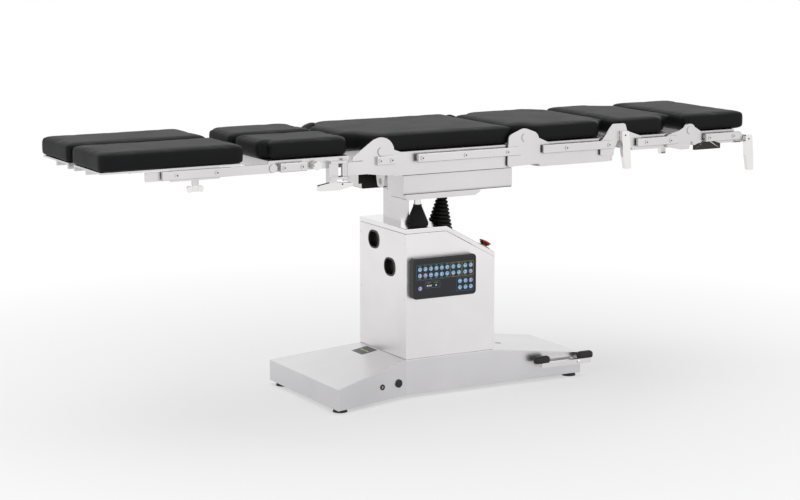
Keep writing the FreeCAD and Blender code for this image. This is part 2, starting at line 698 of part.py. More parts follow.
def wing_screw(side):
    """Two-winged screw that locks the foot section on its bar."""
    y = SKIN + FOOT_BAR_THICK / 2
    top = BOSS_LOW - PLAY
    hub = rod("xy", SLEEVE_X, y, top - WING_HEIGHT, top, 9)
    stem = rod("xy", SLEEVE_X, y, top - 1, KNEE_Z - FOOT_BAR_HEIGHT / 2 - 2 * FIT, KNOB_STEM_R)
    wing = [(SLEEVE_X + 5, top - WING_HEIGHT + 1, 2), (SLEEVE_X + WING_REACH - 4, top - WING_HEIGHT - 4, 6),
            (SLEEVE_X + WING_REACH, top - 2, 6), (SLEEVE_X + 5, top - 3, 2)]
    first = plate(wing, "xz", y - 3, y + 3)
    other = first.mirror(V(SLEEVE_X, 0, 0), V(1, 0, 0))
    return [on_side(fused(hub, stem, first, other), side)]


def cross_block():
    """Cardan cross: one pin across the post's ears, one along the table."""
    block = box((TILT_X - CROSS_HALF, TILT_X + CROSS_HALF), (-POST_GAP + PLAY, POST_GAP - PLAY),
                (TILT_Z - CROSS_HEIGHT / 2, TILT_Z + CROSS_HEIGHT / 2))
    block = block.makeChamfer(4, [edge for edge in block.Edges if abs(edge.tangentAt(0).y) > 0.9])
    across = rod("xz", TILT_X, TILT_Z, -POST_HALF, POST_HALF, CROSS_PIN_R)
    reach = CROSS_HALF + BEARING_GAP + BEARING_WALL
    along = rod("yz", 0, TILT_Z, TILT_X - reach, TILT_X + reach, TRUNNION_R)
    return [fused(block, across, along)]


def tilt_post():
    """Forked post on the ram that runs in the column's guide."""
    saddle = TILT_Z - math.hypot(CROSS_HALF, CROSS_HEIGHT / 2) - 4
    flange_top = COLUMN_TOP - LID - SOFT_GAP
    fork = [(-POST_HALF, flange_top - 5), (POST_HALF, flange_top - 5), (POST_HALF, TILT_Z), (POST_GAP, TILT_Z),
            (POST_GAP, saddle, 8), (-POST_GAP, saddle, 8), (-POST_GAP, TILT_Z), (-POST_HALF, TILT_Z)]
    post = plate(fork, "yz", TILT_X - POST_THICK / 2, TILT_X + POST_THICK / 2)
    ears = [rod("xz", TILT_X, TILT_Z, low, low + POST_HALF - POST_GAP, 20) for low in (-POST_HALF, POST_GAP)]
    flange = box((COLUMN_LEFT + LINER_DEPTH + 6, SLANT_X - 4), (-STRUT_Y - 16, STRUT_Y + 16), (flange_top - FLANGE, flange_top))
    play = GUIDE_WALL + RAM_GAP
    ram = box((GUIDE_LEFT + play, GUIDE_RIGHT - play), (-GUIDE_HALF + play, GUIDE_HALF - play),
              (RAM_LOW, flange_top - FLANGE + 1))
    core = box((GUIDE_LEFT + play + 10, GUIDE_RIGHT - play - 10), (-GUIDE_HALF + play + 10, GUIDE_HALF - play - 10),
               (RAM_LOW - 1, flange_top - FLANGE))
    whole = fused(post, flange, ram, *ears).cut(core)
    return [whole.cut(rod("xz", TILT_X, TILT_Z, -POST_HALF - 1, POST_HALF + 1, CROSS_PIN_R + FIT))]


def post_slot():
    """Room that the post takes up in the lid and beside the boots."""
    half = POST_THICK / 2 + FIT
    return box((TILT_X - half, TILT_X + half), (-POST_HALF - FIT, POST_HALF + FIT), (0, PAD_TOP))


def tilt_struts():
    """Two tilt cylinders' rods, open at the top where they meet the housing."""
    low = COLUMN_TOP - LID
    shaft = rod("xy", STRUT_X, STRUT_Y, low, STRUT_TOP - 8, STRUT_R)
    tip = Part.makeCone(STRUT_R, STRUT_R - 4, 8, V(STRUT_X, STRUT_Y, STRUT_TOP - 8))
    return both(fused(shaft, tip))


def tilt_boots():
    """Smooth cone boots round the struts."""
    cone = Part.makeCone(BOOT_R, STRUT_R + 2.5, BOOT_TOP - COLUMN_TOP - 6, V(STRUT_X, STRUT_Y, COLUMN_TOP + 4))
    foot = rod("xy", STRUT_X, STRUT_Y, COLUMN_TOP, COLUMN_TOP + 4, BOOT_R)
    collar = rod("xy", STRUT_X, STRUT_Y, BOOT_TOP - 2, BOOT_TOP + 3, STRUT_R + 2.5)
    boot = fused(cone, foot, collar).cut(rod("xy", STRUT_X, STRUT_Y, 0, PAD_TOP, STRUT_R))
    return both(boot.cut(post_slot()))


def lid_height(x):
    """Top of the column's lid over a place along the table."""
    return COLUMN_TOP - max(0, x - SLANT_X) * math.tan(SLANT_ANGLE)


def tilt_bellows():
    """Pleated bellows over the trend cylinder, cut to the slanted lid."""
    low = lid_height(BELLOWS_X + BELLOWS_R) - 1
    step = (BELLOWS_TOP - low) / BELLOWS_FOLDS
    shrink = (BELLOWS_R - BELLOWS_TOP_R) / (BELLOWS_FOLDS - 1)
    spots = [V(BELLOWS_X, 0, low)]
    for fold in range(BELLOWS_FOLDS):
        radius = BELLOWS_R - fold * shrink
        z = low + fold * step
        spots.append(V(BELLOWS_X + radius - PLEAT, 0, z))
        spots.append(V(BELLOWS_X + radius, 0, z + step * 0.3))
        spots.append(V(BELLOWS_X + radius, 0, z + step * 0.7))
    spots.append(V(BELLOWS_X + BELLOWS_TOP_R - PLEAT, 0, BELLOWS_TOP))
    spots.append(V(BELLOWS_X, 0, BELLOWS_TOP))
    face = Part.Face(Part.makePolygon(spots + [spots[0]]))
    skin = face.revolve(V(BELLOWS_X, 0, 0), V(0, 0, 1), 360)
    return [skin.cut(under_lid(0))]


def under_lid(drop):
    """Space below the lid's top face, or a drop below it."""
    top = COLUMN_TOP - drop
    slope = math.tan(SLANT_ANGLE)
    far = COLUMN_RIGHT + 100
    shape = [(COLUMN_LEFT - 100, 0), (far, 0), (far, top - (far - SLANT_X) * slope), (SLANT_X, top),
             (COLUMN_LEFT - 100, top)]
    return plate(shape, "xz", -COLUMN_HALF - 100, COLUMN_HALF + 100)


def tilt_housing():
    """Open-ended housing round the cardan: side boxes, roof, bearing brackets, tray and runners."""
    x = (HOUSING_LEFT, HOUSING_RIGHT)
    roof = box(x, (-HOUSING_HALF, HOUSING_HALF), (HOUSING_TOP - HOUSING_WALL, HOUSING_TOP))
    side = box(x, (CHANNEL_HALF, HOUSING_HALF), (HOUSING_LOW, HOUSING_TOP - 1))
    side = side.makeFillet(8, [edge for edge in side.Edges
                               if edge.BoundBox.YMin > HOUSING_HALF - 1 and edge.BoundBox.ZMax < HOUSING_LOW + 1])
    side = side.cut(box((x[0] + HOUSING_WALL, x[1] - HOUSING_WALL),
                        (CHANNEL_HALF + HOUSING_WALL, HOUSING_HALF - HOUSING_WALL),
                        (HOUSING_LOW + HOUSING_WALL, HOUSING_TOP - HOUSING_WALL)))
    tray = plate([(TRAY_LEFT, TRAY_LOW, 6), (TRAY_RIGHT - 19, TRAY_LOW), (TRAY_RIGHT - 2, TRAY_LOW + 9, 2),
                  (TRAY_RIGHT, HOUSING_LOW + 1), (TRAY_LEFT, HOUSING_LOW + 1)],
                 "xz", CHANNEL_HALF, HOUSING_HALF - 5)
    runner_y = BEAM_IN + BEAM_WIDTH / 2
    runner = box((x[0] + 4, x[1] - 4), (runner_y - RUNNER_HALF, runner_y + RUNNER_HALF),
                 (HOUSING_TOP - 1, DECK - SEAT_DEPTH - SOFT_GAP))
    end = box((x[1] - HOUSING_WALL, x[1]), (-CHANNEL_HALF - 1, CHANNEL_HALF + 1), (HOUSING_LOW + 12, HOUSING_TOP))
    pieces = both(side) + both(tray) + both(runner) + [end]
    for offset in (-CROSS_HALF - BEARING_GAP - BEARING_WALL, CROSS_HALF + BEARING_GAP):
        bracket = [(-BRACKET_HALF, HOUSING_TOP - 1), (-TRUNNION_R - 8, TILT_Z - TRUNNION_R - 7, 8),
                   (TRUNNION_R + 8, TILT_Z - TRUNNION_R - 7, 8), (BRACKET_HALF, HOUSING_TOP - 1)]
        pieces.append(plate(bracket, "yz", TILT_X + offset, TILT_X + offset + BEARING_WALL))
    whole = fused(roof, *pieces)
    return [whole.cut(rod("yz", 0, TILT_Z, x[0] - 1, TILT_X + CROSS_HALF + 40, TRUNNION_R + FIT))]


def plan_prism(left, right, half, corner, low, high):
    """Upright prism of a rounded rectangle."""
    return plate(symmetric([(left, half, corner), (right, half, corner)]), "xy", low, high)


def tube(left, right, half, corner, wall, low, high):
    """Upright tube of a rounded rectangle, open at both ends."""
    outer = plan_prism(left, right, half, corner, low, high)
    inner = plan_prism(left + wall, right - wall, half - wall, corner - wall, low - 1, high + 1)
    return outer.cut(inner)


def oval(y, z, inset, low, high):
    """Rounded window of the column's left face, or a plug that fills it, inset all round."""
    wide = OVAL_WIDTH / 2 - inset
    tall = OVAL_HEIGHT / 2 - inset
    corner = OVAL_HEIGHT / 2 - inset - 1
    corners = [(y - wide, z - tall, corner), (y + wide, z - tall, corner),
               (y + wide, z + tall, corner), (y - wide, z + tall, corner)]
    return plate(corners, "yz", low, high)


def column_cover():
    """Outer shell of the lift column, open at the bottom and under the lid."""
    shell = tube(COLUMN_LEFT, COLUMN_RIGHT, COLUMN_HALF, COLUMN_CORNER, COLUMN_WALL, BASE_HIGH + PLAY, COLUMN_TOP)
    shell = shell.common(under_lid(LID))
    for y, z in OVALS:
        shell = shell.cut(oval(y, z, 0, COLUMN_LEFT - 1, COLUMN_LEFT + COLUMN_WALL + 1))
    return [shell]


def window_liners():
    """Closed dark cups in the two oval windows."""
    cups = []
    for y, z in OVALS:
        flange = oval(y, z, -3, COLUMN_LEFT - 1.5, COLUMN_LEFT)
        cup = oval(y, z, FIT, COLUMN_LEFT - 1, COLUMN_LEFT + LINER_DEPTH)
        hollow = oval(y, z, LINER_WALL, COLUMN_LEFT - 2, COLUMN_LEFT + LINER_DEPTH - LINER_WALL)
        cups.append(fused(flange, cup).cut(hollow))
    return cups


def column_lid():
    """Cap with the slanted right part, bored for the post, the struts, the trend cylinder and the stop."""
    block = plan_prism(COLUMN_LEFT - LID_LIP, COLUMN_RIGHT + LID_LIP, COLUMN_HALF + LID_LIP,
                       COLUMN_CORNER + LID_LIP, SLANT_LOW - 2 * LID, COLUMN_TOP)
    lid = block.common(under_lid(0)).cut(under_lid(LID))
    for hole in [post_slot()] + both(rod("xy", STRUT_X, STRUT_Y, 0, PAD_TOP, STRUT_R + FIT)):
        lid = lid.cut(hole)
    return [lid.cut(stop_cylinder(STOP_STEM_R + FIT, -2 * LID, LID))]


def stop_cylinder(radius, low, high):
    """Cylinder on the stop button's axis, between two heights over the slanted lid."""
    foot = V(STOP_X, STOP_Y, lid_height(STOP_X))
    return Part.makeCylinder(radius, high - low, foot + SLANT_NORMAL * low, SLANT_NORMAL)


def estop_collar():
    ring = stop_cylinder(STOP_COLLAR_R, 0, STOP_COLLAR)
    return [ring.cut(stop_cylinder(STOP_STEM_R + FIT, -1, STOP_COLLAR + 1))]


def estop_button():
    """Mushroom button with room to travel above its collar."""
    under = STOP_COLLAR + STOP_TRAVEL + PLAY
    stem = stop_cylinder(STOP_STEM_R, STOP_COLLAR - 10, under + 1)
    head = stop_cylinder(STOP_R, under, STOP_HEIGHT)
    top = [edge for edge in head.Edges if (edge.CenterOfMass - V(STOP_X, STOP_Y, lid_height(STOP_X))).Length
           > STOP_HEIGHT - 1]
    return [fused(head.makeFillet(4, top), stem)]


def panel_outline(inset):
    corner = PANEL_CORNER - inset * 0.5
    return [(PANEL_LEFT + inset, PANEL_LOW + inset, corner), (PANEL_RIGHT - inset, PANEL_LOW + inset, corner),
            (PANEL_RIGHT - inset, PANEL_HIGH - inset, corner), (PANEL_LEFT + inset, PANEL_HIGH - inset, corner)]


def control_panel():
    """Shallow case on the column's near face, with a recess for the keypad."""
    front = -COLUMN_HALF - PANEL_DEPTH
    case = plate(panel_outline(0), "xz", front, -COLUMN_HALF)
    case = case.makeFillet(3, [edge for edge in case.Edges if edge.BoundBox.YMax < front + 1e-6])
    return [case.cut(plate(panel_outline(BEZEL), "xz", front - 1, front + 2))]


def panel_keys():
    """Keypad sheet in the recess with its rows of domed keys."""
    front = -COLUMN_HALF - PANEL_DEPTH
    sheet = plate(panel_outline(BEZEL + FIT), "xz", front + 1, front + 2)
    spots = [(key_x, row_z) for row_z in KEY_ROWS for key_x in KEY_COLUMNS]
    spots += [(key_x, row_z) for row_z in SMALL_KEY_ROWS for key_x in SMALL_KEY_COLUMNS]
    spots.append(LONE_KEY)
    keys = [rod("xz", key_x, key_z, front, front + 1.5, KEY_SIZE / 2) for key_x, key_z in spots]
    return [fused(sheet, *keys)]


def mid_skirt():
    gap = COLUMN_WALL + SKIRT_GAP
    return [tube(COLUMN_LEFT + gap, COLUMN_RIGHT - gap, COLUMN_HALF - gap, COLUMN_CORNER - gap + 1, SKIRT_WALL,
                 BASE_HIGH + PLAY, MID_SKIRT_TOP)]


def lower_skirt():
    gap = COLUMN_WALL + SKIRT_WALL + 2 * SKIRT_GAP
    return [tube(COLUMN_LEFT + gap, COLUMN_RIGHT - gap, COLUMN_HALF - gap, COLUMN_CORNER - gap + 2, SKIRT_WALL,
                 BASE_HIGH, LOW_SKIRT_TOP)]


def column_guide():
    """Guide tube of the lift on its foot flange."""
    shaft = box((GUIDE_LEFT, GUIDE_RIGHT), (-GUIDE_HALF, GUIDE_HALF), (BASE_HIGH, GUIDE_TOP))
    bore = box((GUIDE_LEFT + GUIDE_WALL, GUIDE_RIGHT - GUIDE_WALL),
               (-GUIDE_HALF + GUIDE_WALL, GUIDE_HALF - GUIDE_WALL), (BASE_HIGH - 1, GUIDE_TOP + 1))
    flange = box((GUIDE_LEFT - 14, GUIDE_RIGHT + 20), (-GUIDE_HALF - 18, GUIDE_HALF + 18), (BASE_HIGH, BASE_HIGH + 10))
    return [fused(shaft, flange).cut(bore)]


def base_side(inset):
    """Plan of the base: wide at the foot end, tapered to the column, then parallel."""
    right = BASE_RIGHT - inset
    return symmetric([
        (BASE_LEFT + inset, BASE_WIDE - inset, BASE_CORNER - inset), (COLUMN_LEFT, BASE_HALF - inset, 60),
        (right, BASE_HALF - inset, BASE_CORNER - inset)])


def base_form(inset, low):
    """Solid of the base's outside, or inset for its inside: plan and side outlines together."""
    plan = plate(base_side(inset), "xy", low, BASE_HIGH - inset)
    end = BASE_END - inset
    side = plate([
        (BASE_LEFT + inset, low), (BASE_LEFT + inset, end, 6), (COLUMN_LEFT, BASE_HIGH - inset),
        (COLUMN_RIGHT, BASE_HIGH - inset), (BASE_RIGHT - inset, end, 6), (BASE_RIGHT - inset, low)],
        "xz", -BASE_WIDE - 1, BASE_WIDE + 1)
    return plan.common(side)


def base_cover():
    """Shell of the base, open below and under the column, with the pedal's pivot boss."""
    shell = base_form(0, BASE_LOW).cut(base_form(BASE_WALL, BASE_LOW - 1))
    well = box((GUIDE_LEFT - 16, GUIDE_RIGHT + 22), (-GUIDE_HALF - 20, GUIDE_HALF + 20), (BASE_HIGH - 10, BASE_HIGH + 1))
    window = box((WINDOW_LEFT, WINDOW_LEFT + WINDOW_LENGTH), (WINDOW_Y, WINDOW_Y + WINDOW_WIDTH),
                 (BASE_END, BASE_HIGH + 1))
    near = PEDAL_Y - PEDAL_WIDTH / 2
    far = PEDAL_Y + PEDAL_WIDTH / 2
    boss = rod("xz", PEDAL_X, PEDAL_Z, far + PLAY, -BASE_HALF + 1, PEDAL_HUB_R - PLAY)
    pin = rod("xz", PEDAL_X, PEDAL_Z, near - 3, far + 1, PEDAL_PIN_R)
    head = rod("xz", PEDAL_X, PEDAL_Z, near - 4, near - PLAY, PEDAL_PIN_R + 2)
    return [fused(shell.cut(well).cut(window), boss, pin, head)]


def indicator_window():
    """Dark window let into the base's sloping top."""
    block = box((WINDOW_LEFT + FIT, WINDOW_LEFT + WINDOW_LENGTH - FIT),
                (WINDOW_Y + FIT, WINDOW_Y + WINDOW_WIDTH - FIT), (BASE_END, BASE_HIGH))
    return [block.common(base_form(0, BASE_LOW)).cut(base_form(BASE_WALL, BASE_LOW - 1))]


def castor_spots():
    return [(CASTOR_X, side * CASTOR_Y) for side in (-1, 1)]


def base_frame():
    """Chassis plate with castor wells, side ribs, the column's foot and the carriage's guide pins."""
    inset = BASE_WALL + 1
    plan = plate(base_side(inset), "xy", BASE_LOW + 1, BASE_LOW + 1 + BASE_PLATE)
    wells = [rod("xy", x, y, 0, BASE_HIGH, CASTOR_TRAIL + WHEEL_R + 6) for x, y in castor_spots()]
    wells += both(box((FIXED_X - WHEEL_R - 6, FIXED_X + WHEEL_R + 6),
                      (FIXED_Y - WHEEL_WIDTH / 2 - 6, FIXED_Y + WHEEL_WIDTH / 2 + 6), (0, BASE_HIGH)))
    wells.append(box((FIXED_X - AXLE_R - 4, FIXED_X + AXLE_R + 4),
                     (-FIXED_Y - WHEEL_WIDTH / 2 - 12, FIXED_Y + WHEEL_WIDTH / 2 + 12), (0, BASE_LOW + 2 + BASE_PLATE)))
    for well in wells:
        plan = plan.cut(well)
    foot = box((GUIDE_LEFT - 14, GUIDE_RIGHT + 20), (-GUIDE_HALF - 18, GUIDE_HALF + 18),
               (BASE_LOW + BASE_PLATE, BASE_HIGH))
    core = box((GUIDE_LEFT + GUIDE_WALL, GUIDE_RIGHT - GUIDE_WALL), (-GUIDE_HALF + 12, GUIDE_HALF - 12),
               (BASE_LOW + BASE_PLATE + 12, BASE_HIGH + 1))
    ledge = box((COLUMN_LEFT + 4, COLUMN_LEFT + 20), (-BASE_HALF + 20, BASE_HALF - 20),
                (BASE_LOW + BASE_PLATE, CARRIAGE_Z - 14))
    pins = []
    for x in GUIDE_PINS_X:
        pins += both(rod("xy", x, CARRIAGE_BAR_Y, BASE_LOW + BASE_PLATE, CARRIAGE_Z + CARRIAGE + 3, GUIDE_PIN_R))
    return [fused(plan, foot.cut(core), ledge, *pins)]


def feet_spots():
    wide = BASE_WIDE - FOOT_INSET - 14
    narrow = BASE_HALF - FOOT_INSET
    left = BASE_LEFT + FOOT_INSET
    right = BASE_RIGHT - FOOT_INSET
    return [(left, wide), (left, -wide), (right, narrow), (right, -narrow)]


def leveling_feet():
    """Four rubber feet on short studs under the chassis plate."""
    feet = []
    for x, y in feet_spots():
        pad = Part.makeCone(FOOT_R, FOOT_R - 3, BASE_LOW - 1, V(x, y, 0))
        feet.append(fused(pad, rod("xy", x, y, BASE_LOW - 2, BASE_LOW + 1, 8)))
    return feet


def castor_frame():
    """H-shaped carriage that the pedal pushes down, with the fixed wheels' forks."""
    z = (CARRIAGE_Z, CARRIAGE_Z + CARRIAGE)
    left = box((CASTOR_X - 28, CASTOR_X + 28), (-CASTOR_Y - 26, CASTOR_Y + 26), z)
    right = box((FIXED_X - 24, FIXED_X + 24), (-FIXED_Y - 20, FIXED_Y + 20), z)
    bars = both(box((CASTOR_X, FIXED_X), (CARRIAGE_BAR_Y - 10, CARRIAGE_BAR_Y + 10), z))
    forks = []
    for offset in (-WHEEL_WIDTH / 2 - 2 - FORK_PLATE, WHEEL_WIDTH / 2 + 2):
        leaf = plate([(FIXED_X - 14, z[0] + 1), (FIXED_X + 14, z[0] + 1), (FIXED_X + 10, WHEEL_Z - 9, 6),
                      (FIXED_X - 10, WHEEL_Z - 9, 6)],
                     "xz", FIXED_Y + offset, FIXED_Y + offset + FORK_PLATE)
        forks += both(leaf)
    whole = fused(left, right, *bars, *forks)
    holes = [rod("xy", x, y, 0, BASE_HIGH, GUIDE_PIN_R + FIT) for x, y in castor_spots()]
    for x in GUIDE_PINS_X:
        holes += both(rod("xy", x, CARRIAGE_BAR_Y, 0, BASE_HIGH, GUIDE_PIN_R + FIT))
    holes.append(rod("xz", FIXED_X, WHEEL_Z, -BASE_HALF, BASE_HALF, AXLE_R + FIT))
    for hole in holes:
        whole = whole.cut(hole)
    return [whole]


def wheel(x, y, z):
    """Castor wheel with a dished hub."""
    low = y - WHEEL_WIDTH / 2
    tyre = rod("xz", x, z, low, low + WHEEL_WIDTH, WHEEL_R)
    tyre = tyre.makeFillet(3, [edge for edge in tyre.Edges if len(edge.Vertexes) == 1])
    dish = [rod("xz", x, z, start, start + 4, WHEEL_R - 9) for start in (low - 1, low + WHEEL_WIDTH - 3)]
    hub = rod("xz", x, z, low, low + WHEEL_WIDTH, 9)
    return fused(tyre.cut(dish[0]).cut(dish[1]), hub)


def castor_wheel(side):
    rolling = wheel(CASTOR_X + CASTOR_TRAIL, side * CASTOR_Y, WHEEL_Z)
    return [rolling.cut(rod("xz", CASTOR_X + CASTOR_TRAIL, WHEEL_Z, -BASE_WIDE, BASE_WIDE, AXLE_R + FIT))]


def castor_fork(side):
    """Swivel fork with its axle and the upright pin in the carriage."""
    y = side * CASTOR_Y
    top = CARRIAGE_Z - SOFT_GAP
    head = rod("xy", CASTOR_X, y, top - FORK_PLATE, top, FORK_R)
    plate_over = box((CASTOR_X, CASTOR_X + CASTOR_TRAIL + 10),
                     (y - WHEEL_WIDTH / 2 - 2 - FORK_PLATE, y + WHEEL_WIDTH / 2 + 2 + FORK_PLATE), (top - FORK_PLATE, top))
    pin = rod("xy", CASTOR_X, y, top - 1, CARRIAGE_Z + CARRIAGE + 4, GUIDE_PIN_R)
    axle_x = CASTOR_X + CASTOR_TRAIL
    leaves = []
    for offset in (-WHEEL_WIDTH / 2 - 2 - FORK_PLATE, WHEEL_WIDTH / 2 + 2):
        leaves.append(plate([(axle_x - 26, top - 1), (axle_x + 10, top - 1), (axle_x + 9, WHEEL_Z - 8, 6),
                             (axle_x - 9, WHEEL_Z - 8, 6)],
                            "xz", y + offset, y + offset + FORK_PLATE))
    axle = rod("xz", axle_x, WHEEL_Z, y - WHEEL_WIDTH / 2 - 6, y + WHEEL_WIDTH / 2 + 6, AXLE_R)
    return [fused(head, plate_over, pin, axle, *leaves)]


def fixed_wheels():
    """Wheel pair on one axle through the carriage's forks."""
    axle = rod("xz", FIXED_X, WHEEL_Z, -FIXED_Y - WHEEL_WIDTH / 2 - 8, FIXED_Y + WHEEL_WIDTH / 2 + 8, AXLE_R)
    pair = [wheel(FIXED_X, side * FIXED_Y, WHEEL_Z) for side in (-1, 1)]
    return [fused(axle, *pair)]


def pedal_bar():
    half = PEDAL_BAR / 2
    y = (PEDAL_Y - PEDAL_WIDTH / 2, PEDAL_Y + PEDAL_WIDTH / 2)
    bar = plate([(PEDAL_LEFT, PEDAL_Z - half + 2, 4), (PEDAL_X - 20, PEDAL_Z - half, 8), (PEDAL_RIGHT, PEDAL_Z - half, 5),
                 (PEDAL_RIGHT, PEDAL_Z + half, 4), (PEDAL_LEFT, PEDAL_Z + half, 4)], "xz", *y)
    bar = fused(bar, rod("xz", PEDAL_X, PEDAL_Z, y[0], y[1], PEDAL_HUB_R))
    return [bar.cut(rod("xz", PEDAL_X, PEDAL_Z, -BASE_WIDE, 0, PEDAL_PIN_R + FIT))]


def pedal_pads():
    """Rubber treads on both ends of the pedal bar."""
    treads = []
    for left in (PEDAL_LEFT - 24, PEDAL_RIGHT - PEDAL_PAD + 8):
        low = PEDAL_Z + PEDAL_BAR / 2
        tread = box((left, left + PEDAL_PAD), (PEDAL_Y - PEDAL_PAD_WIDTH / 2, PEDAL_Y + PEDAL_PAD_WIDTH / 2),
                    (low, low + PEDAL_PAD_HIGH))
        upright = [edge for edge in tread.Edges if edge.BoundBox.ZMax > low + PEDAL_PAD_HIGH - 1e-6]
        treads.append(tread.makeFillet(5, upright))
    return treads


def taper_y(x):
    """Half-width of the base's outside where it tapers."""
    return BASE_HALF + (COLUMN_LEFT - x) * (BASE_WIDE - BASE_HALF) / (COLUMN_LEFT - BASE_LEFT)


def side_sockets():
    """Round earthing socket and a larger cap on the base's tapered near side."""
    angle = math.atan2(BASE_WIDE - BASE_HALF, COLUMN_LEFT - BASE_LEFT)
    outward = V(math.sin(angle), -math.cos(angle), 0)
    made = []
    for x, radius in ((SOCKET_X, SOCKET_R), (SOCKET_CAP_X, SOCKET_CAP_R)):
        foot = V(x, -taper_y(x), SOCKET_Z)
        ring = Part.makeCylinder(radius, SOCKET_DEPTH, foot, outward)
        if radius == SOCKET_R:
            ring = ring.cut(Part.makeCylinder(radius - 4, SOCKET_DEPTH, foot + outward * 2, outward))
            ring = ring.fuse(Part.makeCylinder(3, SOCKET_DEPTH, foot, outward))
        made.append(ring)
    return made


PARTS = [
    ("base_frame", base_frame), ("base_cover", base_cover), ("indicator_window", indicator_window),
    ("leveling_feet", leveling_feet), ("side_sockets", side_sockets), ("castor_frame", castor_frame),
    ("fixed_wheels", fixed_wheels), ("pedal_bar", pedal_bar), ("pedal_pads", pedal_pads),
    ("column_guide", column_guide), ("lower_skirt", lower_skirt), ("mid_skirt", mid_skirt),
    ("column_cover", column_cover), ("window_liners", window_liners), ("column_lid", column_lid),
    ("control_panel", control_panel), ("panel_keys", panel_keys), ("estop_collar", estop_collar),
    ("estop_button", estop_button), ("tilt_post", tilt_post), ("tilt_struts", tilt_struts),
    ("tilt_boots", tilt_boots), ("tilt_bellows", tilt_bellows), ("cross_block", cross_block),
    ("tilt_housing", tilt_housing), ("seat_frame", seat_frame), ("seat_pad", seat_pad),
    ("back_frame", back_frame), ("back_pad", back_pad), ("upper_frame", upper_frame),
    ("upper_pad", upper_pad), ("head_frame", head_frame), ("head_pad", head_pad)]

SIDED_PARTS = [
    ("castor_fork", castor_fork), ("castor_wheel", castor_wheel), ("hip_arm", hip_arm),
    ("leg_frame", leg_frame), ("leg_pad", leg_pad), ("leg_knob", leg_knob), ("clamp_lever", clamp_lever),
    ("foot_bar", foot_bar), ("foot_carriage", foot_carriage), ("foot_pad", foot_pad), ("wing_screw", wing_screw)]


def back_lever(side):
    return release_lever(UPPER_X, SPLIT_Z, 104, 12, side)


def head_lever(side):
    return release_lever(HEAD_X + 220, RAIL_Z - 12, 100, 10, side)


os.makedirs("parts", exist_ok=True)
for part_name, make in PARTS:
    export(part_name, make())
for part_name, make in SIDED_PARTS + [("back_lever", back_lever), ("head_lever", head_lever)]:
    for side_name, side_sign in (("left", -1), ("right", 1)):
        export(part_name + "_" + side_name, make(side_sign))
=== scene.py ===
import math

import bmesh
import bpy
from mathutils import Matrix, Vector
from mathutils.bvhtree import BVHTree


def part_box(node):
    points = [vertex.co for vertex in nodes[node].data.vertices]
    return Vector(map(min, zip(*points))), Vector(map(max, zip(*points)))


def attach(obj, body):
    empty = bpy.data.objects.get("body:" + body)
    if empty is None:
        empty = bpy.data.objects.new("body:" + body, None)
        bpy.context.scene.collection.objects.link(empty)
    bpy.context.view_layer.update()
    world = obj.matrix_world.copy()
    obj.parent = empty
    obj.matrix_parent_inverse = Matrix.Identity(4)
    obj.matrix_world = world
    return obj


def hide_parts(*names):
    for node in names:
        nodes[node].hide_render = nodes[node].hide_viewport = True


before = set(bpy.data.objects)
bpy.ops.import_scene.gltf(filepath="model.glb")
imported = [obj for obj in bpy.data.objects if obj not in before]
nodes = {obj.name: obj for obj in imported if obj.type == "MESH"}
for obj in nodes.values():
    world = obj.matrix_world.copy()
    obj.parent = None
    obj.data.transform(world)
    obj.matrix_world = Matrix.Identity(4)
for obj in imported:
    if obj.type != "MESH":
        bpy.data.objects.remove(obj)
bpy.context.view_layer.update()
scene = bpy.context.scene
SIDES = ("left", "right")

# Camera, in metres and degrees
CAMERA_PLACE = Vector((-3.1387, -5.5605, 1.5240))
CAMERA_AZIMUTH = math.radians(-29.0943)
CAMERA_ELEVATION = math.radians(9.7975)
LENS = 95.5987

# Floor: from the first distance to the second it turns from matt with a shadow to plain white
FLOOR_NEAR = 0.7
FLOOR_FAR = 2.2
FLOOR_WHITE = 0.5

FLOOR_SIZE = 60
FLOOR_GREY = (0.9, 0.9, 0.9)

# Lamps: name, place, aim, size and power in watts
LAMPS = (
    ("above", (0.3, 0.4, 4.2), (0, 0, 0.7), (5.0, 3.0), 46),
    ("left", (-4.5, -2.4, 2.2), (0, 0, 0.5), (3.0, 2.6), 34),
    ("front", (1.8, -4.6, 1.6), (0, 0, 0.5), (3.0, 2.0), 16))
ROOM_GREY = (0.55, 0.55, 0.56)

# Colours, as linear red, green and blue
STEEL = (0.64, 0.625, 0.63)
STEEL_COLUMN = (0.80, 0.785, 0.79)
STEEL_BASE = (0.68, 0.67, 0.68)
BRIGHT = (0.80, 0.78, 0.775)
CHASSIS = (0.42, 0.41, 0.41)
VINYL = (0.0045, 0.0048, 0.0055)
RUBBER = (0.008, 0.0075, 0.007)
PLASTIC = (0.010, 0.010, 0.011)
# Dark steel of the painted shade under and inside the frames, also used for the bar under the head frame
SHADE_AND_BAR_DARK = (0.045, 0.040, 0.038)
TYRE = (0.025, 0.025, 0.026)
TREAD_BLACK = (0.012, 0.011, 0.011)
FILM = (0.012, 0.013, 0.016)
LINER = (0.012, 0.010, 0.009)
RED = (0.55, 0.012, 0.015)
YELLOW = (0.62, 0.50, 0.045)
BRASS = (0.62, 0.45, 0.20)

# Scale of the brush lines' noise along X, Y and Z: small along the lines
BRUSHED_X = (0.02, 1, 1)
BRUSHED_LEVEL = (0.02, 0.02, 1)
BRUSHED_Z = (1, 1, 0.02)

# Angle in degrees over which an edge stays sharp on folded sheet
CRISP = 5

X, Y, Z = Vector((1, 0, 0)), Vector((0, 1, 0)), Vector((0, 0, 1))


def both(name):
    return [name + "_" + side for side in SIDES]


# Materials

